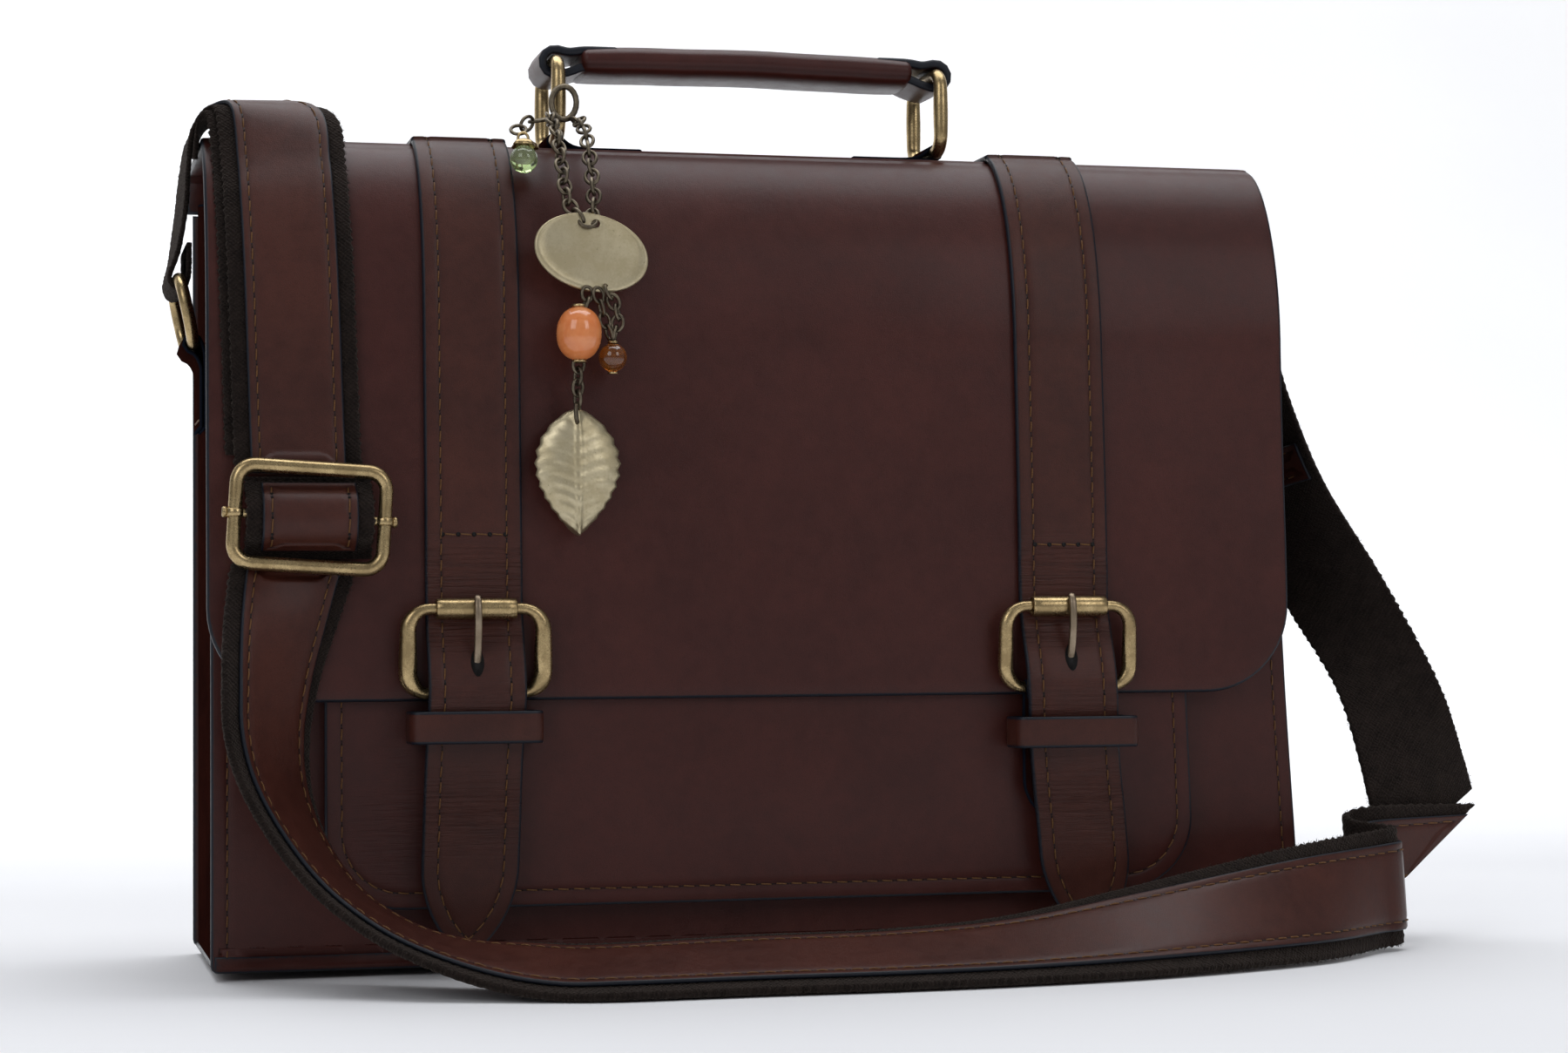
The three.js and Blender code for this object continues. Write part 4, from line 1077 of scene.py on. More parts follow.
def build_buckle(side, x):
    lean = np.array([ROLLER[0] - HEEL[0], ROLLER[1] - HEEL[1]])
    half_high = np.linalg.norm(lean) / 2
    lean = lean / np.linalg.norm(lean)
    middle = np.array([x, (HEEL[0] + ROLLER[0]) / 2, (HEEL[1] + ROLLER[1]) / 2])
    loop = rounded_loop(21.8, half_high, 7, 9, 9)
    core = middle + np.outer(loop[:, 0], (1, 0, 0)) + np.outer(loop[:, 1], (0, lean[0], lean[1]))
    sides = np.clip((np.abs(loop[:, 0]) - 17) / 4, 0, 1)
    low = np.clip((half_high - loop[:, 1]) / (2 * half_high), 0, 1)
    heavy = {"left": 2.95, "right": 2.5}[side]
    radius = 1.85 + sides * ((heavy - 1.95) * np.clip(0.35 + 1.1 * low, 0, 1) + 0.15)
    parts = Parts()
    parts.add(*ring_of(core, radius, 20, 0.92))
    parts.build(f"buckle_frame_wire_{side}", [BRASS], "flap", [f"buckle_frame_{side}"])

    half = 13.0
    tube = [(-half, 2.5), (-half, 3.0), (-half + 0.4, 3.3), (-half + 3, 3.38), (0, 3.42), (half - 3, 3.38),
            (half - 0.4, 3.3), (half, 3.0), (half, 2.5), (half - 1, 2.42), (-half + 1, 2.42)]
    parts = Parts()
    parts.add(*lathe(tube, (x, ROLLER[0], ROLLER[1]), (1, 0, 0), 32))
    parts.build(f"roller_tube_{side}", [BRASS], f"roller_{side}",
                [f"buckle_roller_{side}"])

    blade = smooth_line([[-68.1, 93.2], [-68.3, 96.5], [-69.6, 100.3], [-71.3, 104], [-72.6, 109],
                         [-73.2, 114],
                         [-73.15, 117.6], [-72.75, 119.8], [-71.9, 121.3], [-70.9, 122.0]], 5)
    core = np.column_stack([np.full(len(blade), x), blade])
    tangent = unit(np.gradient(blade, axis=0))
    up = np.column_stack([np.zeros(len(blade)), -tangent[:, 1], tangent[:, 0]])
    t = np.linspace(0, 1, len(blade))
    wide = 1.3 - 0.15 * t - 0.5 * np.clip((t - 0.92) / 0.08, 0, 1)
    thick = 0.95 - 0.25 * np.clip((t - 0.75) / 0.25, 0, 1) - 0.15 * np.clip((t - 0.95) / 0.05, 0, 1)
    turn = np.arange(14) * math.pi / 7
    section = np.stack([np.outer(thick, np.sign(np.sin(turn)) * np.abs(np.sin(turn)) ** 0.7),
                        np.outer(wide, np.sign(np.cos(turn)) * np.abs(np.cos(turn)) ** 0.7)], 2)
    parts = Parts()
    parts.add(*swept(core, up, np.outer(np.ones(len(core)), (1, 0, 0)), section, closed=False))
    hub = [(-1.5, 2.15), (-1.5, 2.9), (-1.1, 3.3), (1.1, 3.3), (1.5, 2.9), (1.5, 2.15)]
    parts.add(*lathe(hub, (x, HEEL[0], HEEL[1]), (1, 0, 0), 28))
    parts.build(f"prong_wire_{side}", [STEEL], f"prong_{side}", [f"buckle_prong_{side}"])


def build_buckle_tab(side, x):
    """A narrow tab folded over the heel bar, its rounded end hanging behind the tongue."""
    line = np.concatenate([[[-69.2, 87.2], [-69.0, 89.5]], arc(HEEL, 2.8, 180, 0, 11)[1:],
                           [[-63.2, 87], [-62.75, 82], [-62.6, 70], [-62.5, 46]]])
    path = planar_path(resample(smooth_line(line, 5), 60), "yz", x, 15)
    panel(f"buckle_tab_leather_{side}", pouch_shape(-15, 15, 0, path.length, 14.4, 2.0, 14), 8,
          path.place(0, 15), 1.35,
          "flap", SHADED_LEATHER, [f"buckle_tab_{side}"], row=3.2, rows_on=(0, 1, 0, 0), crown=0.1)


def build_keeper(side, x, z):
    """A closed leather loop round the strap, its cut edges painted."""
    half_x, front, rear, bend = 20.6, -73.4, -59.3, 2.6
    depth = (rear - front) / 2
    loop = rounded_loop(half_x, depth, bend, 8, 7)
    core = np.column_stack([x + loop[:, 0], (front + rear) / 2 + loop[:, 1], np.full(len(loop), z)])
    bow = 0.5 * np.cos(loop[:, 0] / half_x * math.pi / 2) * (loop[:, 1] < 0)
    core[:, 1] -= bow
    along = unit(np.roll(core, -1, axis=0) - np.roll(core, 1, axis=0))
    out = np.cross(along, (0, 0, 1))
    up = np.outer(np.ones(len(core)), (0, 0, 1.0))
    half = 5.2
    section = [(0, -half + 0.5), (0.25, -half + 0.1), (0.8, -half), (1.35, -half + 0.1), (1.6, -half + 0.5),
               (1.64, -half + 1.2), (1.68, -half / 2), (1.7, 0), (1.68, half / 2), (1.64, half - 1.2),
               (1.6, half - 0.5),
               (1.35, half - 0.1), (0.8, half), (0.25, half - 0.1), (0, half - 0.5), (0, half / 2),
               (0, -half / 2)]
    points, faces = swept(core, out, up, np.array(section) - np.array([0.8, 0]))
    rim = np.clip((np.abs(np.array(section)[:, 1]) - (half - 1.3)) / 0.8, 0, 1)
    n = len(section)
    run = np.repeat(lengths(np.concatenate([core, core[:1]]))[:-1], n)
    flat = np.column_stack([run, np.tile(np.array(section)[:, 1], len(core)), np.zeros(len(points))])
    attributes = {"edge": np.tile(rim, len(core)), "seam_shade": np.zeros(len(points)),
                  "wear": np.zeros(len(points)),
                  "surf": flat}
    add_object(f"keeper_loop_{side}", points, faces, [STRAP], "flap", [f"keeper_{side}"],
               attributes)


# ---- handle ----

RING_X = 67.4
HANDLE_Y = -7.35


def build_handle():
    loop = rounded_loop(16.85, 13.4, 6, 9, 7)
    for side, sign in (("left", -1), ("right", 1)):
        core = np.column_stack([np.full(len(loop), sign * RING_X), HANDLE_Y + loop[:, 0], 291 + loop[:, 1]])
        radius = 2.45 + 0.12 * np.cos(loop[:, 1] / 13.4 * math.pi)
        parts = Parts()
        parts.add(*ring_of(core, radius, 22))
        parts.build(f"handle_ring_wire_{side}", [BRASS], f"ring_{side}",
                    [f"handle_ring_{side}"])

        line = np.concatenate([[[30, 274.4], [14, 274.4], [3, 274.35]], arc((0, 277.6), 2.95, 250, 60, 14),
                               [[5.2, 277.0], [9, 275.9], [14, 275.65], [30, 275.6]]])
        line[:, 0] = sign * (RING_X - line[:, 0])
        path = planar_path(resample(smooth_line(line, 5), 70), "xz", HANDLE_Y, 10, 1 if sign < 0 else -1)
        panel(f"handle_tab_leather_{side}", strip_shape(20, 0, path.length, 1.8), 8, path.place(0, 10),
              1.25, "flap",
              SHADED_LEATHER, [f"handle_tab_{side}"], row=2.6, rows_on=(0, 1, 0, 0), crown=0.0)
        line = np.concatenate([[[46, 305.0], [57, 304.5], [62.5, 302.6]],
                               arc((RING_X, 304.4), 3.05, -100, 100, 15),
                               [[62.5, 306.6], [57, 307.3], [46, 307.4]]])
        line[:, 0] *= sign
        path = planar_path(resample(smooth_line(line, 5), 70), "xz", HANDLE_Y, 12, 1 if sign > 0 else -1)
        panel(f"handle_end_leather_{side}", strip_shape(24, 0, path.length, 1.6), 8, path.place(0, 12), 2.8,
              "handle",
              STRAP, [], crown=0.1)
    build_grip()


def build_grip():
    stations = np.unique(np.concatenate([np.linspace(-58.5, 58.5, 60),
                                         (-58.2, -57.6, -56.5, 56.5, 57.6, 58.2)]))
    turn = np.arange(48) * 2 * math.pi / 48
    rows, seams = [], []
    for x in stations:
        t = abs(x) / 58.5
        end = math.sqrt(max(0.0, 1 - max(0.0, (t - 0.965) / 0.035) ** 2)) * 0.35 + 0.65
        pinch = 1 - 0.1 * max(0.0, (t - 0.72) / 0.28) ** 2
        half_y, half_z = 14.3 * (0.6 * end + 0.4) * (0.96 + 0.04 * pinch), 5.4 * end * pinch
        c, s = np.cos(turn), np.sin(turn)
        y = half_y * np.sign(c) * np.abs(c) ** 0.62
        z = half_z * np.sign(s) * np.abs(s) ** 0.8
        # The groove is pressed in, and the shader darkens the leather along it: painted shade in the groove.
        groove = np.exp(-((z / half_z + 0.42) / 0.09) ** 2) * (np.abs(c) > 0.5)
        y = y * (1 - 0.035 * groove)
        arch = 0.9 * (1 - t ** 2)
        bump = 0.25 * noise.noise(Vector((x * 0.05, 1.5, 0.0)))
        rows.append(np.column_stack([np.full(48, x), HANDLE_Y + y, 305.3 + arch + z + bump]))
        seams.append(groove)
    points = np.concatenate(rows)
    faces = []
    for i in range(len(stations) - 1):
        for s in range(48):
            t = (s + 1) % 48
            faces.append((i * 48 + s, i * 48 + t, (i + 1) * 48 + t, (i + 1) * 48 + s))
    faces.append(tuple(range(48)))
    faces.append(tuple(range((len(stations) - 1) * 48, len(stations) * 48))[::-1])
    attributes = {"edge": np.zeros(len(points)), "seam_shade": np.concatenate(seams),
                  "wear": np.zeros(len(points)),
                  "surf": np.column_stack([points[:, 1], points[:, 0], points[:, 2]])}
    grip = add_object("grip_leather", points, faces, [SHELL], "handle",
                      ["handle_grip", "handle_strap"], attributes)


# ---- shoulder strap ----

WEB_WIDTH = 40.0
WEB_THICKNESS = 1.6
TRIM_WIDTH = 30.0
TRIM_THICKNESS = 1.5
TRIM_PITCH = 5.3
WEAVE = 1.5


def webbing_strip(name, path, lift, body, stands_for, start=0.0, end=None, thickness=WEB_THICKNESS,
                  width=WEB_WIDTH,
                  bend=None, wavy=None):
    """Woven webbing: a closed strip whose faces and edges carry the knots of the weave."""
    end = path.length if end is None else end
    place = path.place(lift, WEB_WIDTH / 2)
    if wavy:
        place = wavy(place)
    cells = int(round(width / (WEAVE / 2)))
    top_u = np.linspace(-width / 2 + 0.5, width / 2 - 0.5, cells)
    low_u = top_u[::-2]
    u = np.concatenate([[-width / 2], top_u, [width / 2], low_u])
    h = np.concatenate([[thickness / 2], np.full(cells, thickness), [thickness / 2], np.zeros(len(low_u))])
    n = len(u)
    rows = max(2, int(round((end - start) / (WEAVE / 2))) + 1)
    v = np.linspace(start, end, rows)
    grid_u = np.tile(u, rows)
    grid_v = np.repeat(v, n)
    grid_h = np.tile(h, rows)
    column = np.tile(np.concatenate([[0], np.arange(cells), [cells - 1], np.arange(cells)[::-2]]), rows)
    row = np.repeat(np.arange(rows), n)
    knot = np.sin(column * math.pi / 2) * np.sin(row * math.pi / 2) + 0.4 * np.sin(
        (column + row) * math.pi / 2)
    upper = np.tile(np.concatenate([[0], np.ones(cells), [0], -np.ones(len(low_u))]), rows)
    rim = np.tile(np.concatenate([[-1], np.zeros(cells), [1], np.zeros(len(low_u))]), rows)
    jitter = np.array([rng.uniform(-0.09, 0.09) for _ in range(rows * n)])
    grid_h = grid_h + upper * (0.2 * knot + jitter)
    grid_u = grid_u + rim * (0.3 * np.sin(row * math.pi / 2) + 2 * jitter)
    points = place(grid_u, grid_v, grid_h)
    faces = []
    for i in range(rows - 1):
        for s in range(n):
            t = (s + 1) % n
            faces.append((i * n + s, i * n + t, (i + 1) * n + t, (i + 1) * n + s))
    faces.append(tuple(range(n))[::-1])
    faces.append(tuple(range((rows - 1) * n, rows * n)))
    attributes = {"surf": np.column_stack([grid_u, grid_v, grid_h])}
    made = add_object(name, points, faces, [WEB], None if bend else body, stands_for, attributes)
    if bend:
        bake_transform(made)
    fuzz(f"{name}_fibres", place, start, end, width, thickness, body, bend)
    return made


def fuzz(name, place, start, end, width, thickness, body, bend):
    """Short loose fibres along both edges of the webbing."""
    count = int((end - start) * 2.6)
    u, v, h, points, faces = [], [], [], 0, []
    for _ in range(count):
        for sign in (-1, 1):
            at = start + (end - start) * rng.random()
            reach = 0.35 + 0.75 * rng.random() ** 2
            drift = rng.uniform(-0.8, 0.8)
            level = thickness * rng.random()
            rise = rng.uniform(-0.5, 0.5)
            thin = 0.055
            for t, w in ((0.0, 1.0), (0.55, 0.8), (1.0, 0.3)):
                mid_u = sign * (width / 2 - 0.1 + reach * t)
                mid_v, mid_h = at + drift * t * t, level + rise * t * t
                for dv, dh in ((0, thin), (thin, -thin), (-thin, -thin)):
                    u.append(mid_u)
                    v.append(min(max(mid_v + dv * w, start), end))
                    h.append(mid_h + dh * w)
            base = points
            for i in (0, 3):
                for s in range(3):
                    e = (s + 1) % 3
                    faces.append((base + i + s, base + i + e, base + i + 3 + e, base + i + 3 + s))
            faces.append((base + 2, base + 1, base))
            faces.append((base + 6, base + 7, base + 8))
            points += 9
    attributes = {"surf": np.column_stack([u, v, h])}
    laid = place(np.array(u), np.array(v), np.array(h))
    made = add_object(name, laid, faces, [WEB], None if bend else body, (), attributes)
    if bend:
        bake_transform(made)


def trim(name, path, lift, body, stands_for, start=0.0, end=None, rows_on=(1, 0, 1, 0), bend=None,
         wavy=None, wear=None,
         columns=8, step=2.5):
    """The leather laid on the webbing and sewn down along both edges."""
    end = path.length if end is None else end
    place = path.place(lift, WEB_WIDTH / 2)
    if wavy:
        place = wavy(place)
    panel(name, strip_shape(TRIM_WIDTH, start, end, step), columns, place, TRIM_THICKNESS, body,
          STRAP,
          stands_for, row=3.0, rows_on=rows_on, crown=0.12, round_edge=0.6, bend=bend, wear=wear,
          pitch=TRIM_PITCH)


SIDE_STATIONS = [
    [[-190.6, -18, 240], [-190.6, 20, 240]], [[-190.9, -18, 229], [-190.9, 20, 229]],
    [[-193.2, -18, 225.4], [-193.2, 20, 225.4]], [[-195.4, -18, 228.5], [-195.2, 20, 228.5]],
    [[-192.6, -19, 237], [-193.4, 21, 237]], [[-190.4, -22, 250], [-191.4, 19, 252]],
    [[-189.8, -26, 262], [-189.8, 16, 267]], [[-189.4, -29, 270], [-187.4, 12, 278]],
    [[-188.6, -31, 275.5], [-180.5, 6, 285]], [[-186.4, -34, 279.6], [-163, -8, 286]],
    [[-183, -38.5, 279.5], [-144, -33, 280.5]],
]
WINDOW_LINE = [
    (-64.8, 160), (-65, 158), (-68.2, 154.5), (-73, 151.5), (-74.4, 147), (-73, 142.5), (-68.2, 139.5),
    (-65.6, 136), (-65.4, 134),
]
LOWER_STATIONS = [
    [[-179.5, -65.6, 132.6], [-139.5, -65, 132.6]], [[-181, -69, 127], [-141.6, -63.6, 126.4]],
    [[-183.2, -79, 112], [-147, -62.9, 111]], [[-184, -88, 95], [-152.5, -62.9, 95]],
    [[-183.6, -92, 80], [-155.6, -62.5, 78]], [[-179.5, -93.5, 65], [-155, -61, 60]],
    [[-171, -96, 49], [-149.5, -63, 43]], [[-159, -103, 33], [-138, -69.5, 26.5]],
    [[-144.5, -113, 20.5], [-122.5, -80.5, 16.5]], [[-129.5, -123.5, 12], [-106, -91.5, 12.5]],
    [[-109.5, -132.5, 4.6], [-90, -98.5, 12.8]], [[-90, -140, 1.2], [-76, -103.5, 12.5]],
]
FLOOR_STATIONS = [
    [[-89.4, -140.2, 1.2], [-75.4, -103.7, 12.5]], [[-69.5, -145, 1.2], [-60, -107.5, 13]],
    [[-26, -144, 1.2], [-20, -106, 14]], [[17, -144.5, 1.2], [19, -107, 14.5]],
    [[62.6, -141, 1.2], [61, -105.5, 17.5]], [[112.5, -131, 1.2], [105, -100, 25.5]],
    [[170, -107, 1.2], [160.5, -90, 36]], [[203, -77.5, 1.4], [200, -74, 40.5]],
    [[211, -73, 1.6], [209, -71, 41.5]], [[215.5, -67.5, 2], [213.5, -67, 42]],
    [[211, -62, 3], [209, -62, 43]], [[205, -58.5, 4], [203, -58.5, 44]],
    [[206, -51.5, 6], [203.5, -51.5, 46]], [[212, -49, 10], [217, -48, 48]],
    [[222, -46, 19], [262, -31, 47]],
]
RISE_STATIONS = [
    [[220.5, -40.5, 25], [262, -25.5, 52]], [[218, -36, 47], [258, -27, 65]],
    [[213, -24, 86], [249, -30, 90]], [[204.5, 1, 122], [231, -28, 128]],
    [[199, 14, 158], [211, -23.5, 164]], [[197, 20, 194], [199.5, -20, 196]],
    [[194.5, 20, 213], [195.2, -20, 214]], [[193.2, 20, 226], [193.2, -20, 226]],
    [[190.9, 20, 231], [190.9, -20, 231]], [[188.6, 20, 227], [188.6, -20, 227]],
]


def over_path():
    """From the left D-ring up, over the flap's crown and down its front to the slider."""
    line = flap_line(-2.2)
    front = []
    for z in (262, 250, 235, 215, 195, 178):
        y = np.interp(-z, -line[:, 1][line[:, 0] < -30], line[:, 0][line[:, 0] < -30])
        front.append((y, z))
    front += [(-63.1, 168), (-63.4, 161.2)]
    stations = list(SIDE_STATIONS)
    for y, z in front:
        left = -182 + (278 - z) / 118 * 3.6
        stations.append([[left, y, z], [left + WEB_WIDTH, y, z]])
    return pair_path(stations, 9, True)


def build_shoulder_strap():
    over = over_path()
    hold = ("case", "slider", (-0.16, -0.066, 0.215), (-0.16, -0.066, 0.163))
    webbing_strip("strap_over_ribbon", over, 0, "case", ["strap_side_webbing", "strap_upper_webbing"],
                  wavy=on_flap, bend=hold)
    webbing_strip("strap_under_ribbon", over, -1.9, "case", ["strap_under_webbing"], start=62,
                  end=over.length - 6,
                  wavy=lambda place: on_flap(lambda u, v, h: place(u - 2.6, v, h)))
    start = over.length - 150
    trim("strap_upper_leather", over, 1.75, "case", ["strap_upper_trim"], start=start, wavy=on_flap,
         bend=hold)

    line = smooth_line([[y, z] for y, z in WINDOW_LINE], 6)
    window = planar_path(line, "yz", -155.6, WEB_WIDTH / 2)
    webbing_strip("strap_window_ribbon", window, 0, "slider", ["strap_window_webbing"])
    trim("strap_window_leather", window, 1.75, "slider", ["strap_window_trim"], start=4.5,
         end=window.length - 4.5,
         step=1.6)

    lower = pair_path(LOWER_STATIONS + FLOOR_STATIONS[1:], 8, True)
    hold = ("slider", "case", (-0.16, -0.066, 0.13), (-0.16, -0.066, 0.085))
    webbing_strip("strap_lower_ribbon", lower, -0.9, "case", ["strap_lower_webbing", "strap_floor_webbing"],
                  thickness=2.5, bend=hold)
    trim("strap_lower_leather", lower, 1.75, "case", ["strap_lower_trim", "strap_floor_trim"], bend=hold)

    rise = pair_path(RISE_STATIONS, 10, False)
    end = rise.at[np.flatnonzero(rise.middle[:, 2] >= 195)[0]]
    webbing_strip("strap_right_ribbon", rise, 1.95, "case", ["strap_right_webbing"], thickness=2.0)
    trim("strap_right_leather", rise, 0.1, "case", ["strap_right_trim"], end=end)
    place = rise.place(4.1, WEB_WIDTH / 2)
    panel("strap_end_patch_right", rect_shape(-17, 17, even(end - 34, end - 20, 2.0)), 8, place, 1.3,
          "case",
          STRAP, [], row=2.6, rows_on=(0, 1, 0, 1), crown=0.1, round_edge=0.5)


SLIDER = (-155.5, -72.2, 147.0)
SLIDER_TILT = math.radians(3.5)


def build_slider():
    across = np.array([math.cos(SLIDER_TILT), 0, -math.sin(SLIDER_TILT)])
    up = np.array([math.sin(SLIDER_TILT), 0, math.cos(SLIDER_TILT)])
    loop = rounded_loop(23.5, 15.5, 6.0, 9, 8)
    core = np.array(SLIDER) + np.outer(loop[:, 0], across) + np.outer(loop[:, 1], up)
    parts = Parts()
    parts.add(*ring_of(core, 2.2 + 0.12 * (np.abs(loop[:, 1]) > 12), 20))
    parts.build("slider_frame_wire", [BRASS], "slider", ["slider_frame"])
    half = 27.5
    profile = [(-half, 0), (-half, 1.3), (-half + 0.3, 1.75), (-half + 1.1, 1.9), (-half + 1.4, 1.5),
               (-half + 7, 1.5), (half - 7, 1.5), (half - 1.4, 1.5), (half - 1.1, 1.9), (half - 0.3, 1.75),
               (half, 1.3), (half, 0)]
    parts = Parts()
    parts.add(*lathe(profile, SLIDER, across, 24))
    for sign in (-1, 1):
        centre = np.array(SLIDER) + across * sign * 23.5
        sleeve = [(-1.2, 2.35), (-1.2, 2.75), (-0.8, 2.98), (0.8, 2.98), (1.2, 2.75), (1.2, 2.35)]
        parts.add(*lathe(sleeve, centre, up, 24))
    parts.build("slider_bar_rod", [BRASS], "slider", ["slider_bar"])


SIDE_BAR = (188.6, 0.0, 206.5)


def build_side_rings():
    for side, sign, degrees in (("left", -1, 12), ("right", 1, 6)):
        lean = math.radians(degrees)
        loop = rounded_loop(24, 11, 9, 10, 7)
        up = np.array([sign * math.sin(lean), 0, math.cos(lean)])
        centre = np.array([sign * SIDE_BAR[0], 0, SIDE_BAR[2]])
        core = centre + np.outer(loop[:, 0], (0, 1, 0)) + np.outer(loop[:, 1] + 11, up)
        parts = Parts()
        parts.add(*ring_of(core, 2.05, 18))
        parts.build(f"side_ring_wire_{side}", [BRASS], f"side_ring_{side}",
                    [f"side_ring_{side}"])
        line = np.concatenate([[[185.1, 178.6], [185.1, 196]], [[185.3, 203]],
                               arc((188.6, 206.5), 2.45, 175, -45, 14),
                               [[187.4, 203.2], [185.5, 199.6], [185.2, 196]],
                               [[185.2, 178.6]]])
        line[:, 0] *= sign
        path = planar_path(resample(smooth_line(line, 4), 70), "xz", 0, 17, -1 if sign < 0 else 1)
        path.normal *= -1 if path.normal[len(path.normal) // 2][2] < 0 else 1
        panel(f"side_tab_leather_{side}", strip_shape(34, 0, path.length, 2.0), 10, path.place(0, 17), 1.2,
              "case",
              SHADED_LEATHER, [f"side_tab_{side}"], row=3.0, rows_on=(0, 1, 0, 0), crown=0.0)


# ---- charm ----

def link(parts, centre, along, across, half_long, half_wide, wire, face_slot=0):
    """One oval link of round wire."""
    along = unit(np.array(along, float))
    across = np.array(across, float)
    across = unit(across - along * (across @ along))
    turn = np.arange(20) * math.pi / 10
    core = np.array(centre) + np.outer(half_long * np.cos(turn),
                                       along) + np.outer(half_wide * np.sin(turn), across)
    points, faces = ring_of(core, wire, 8)
    parts.add(points, faces, face_slot)


def chain(parts, points, pitch=4.1, half_long=2.95, half_wide=2.15, wire=0.62, roll=0.3):
    """Links along a line, each a quarter turn from the last."""
    line = smooth_line(points, 12)
    at = lengths(line)
    count = max(1, int(round(at[-1] / pitch)))
    for k in range(count):
        spot = (k + 0.5) * at[-1] / count
        centre = np.array([np.interp(spot, at, line[:, a]) for a in range(3)])
        ahead = np.array([np.interp(min(spot + 2, at[-1]), at, line[:, a]) for a in range(3)])
        behind = np.array([np.interp(max(spot - 2, 0), at, line[:, a]) for a in range(3)])
        along = unit(ahead - behind)
        side = np.cross(along, (0, -1, 0))
        front = np.cross(side, along)
        angle = roll + (k % 2) * math.pi / 2 + rng.uniform(-0.2, 0.2)
        across = side * math.cos(angle) + front * math.sin(angle)
        link(parts, centre, along, across, half_long, half_wide, wire)


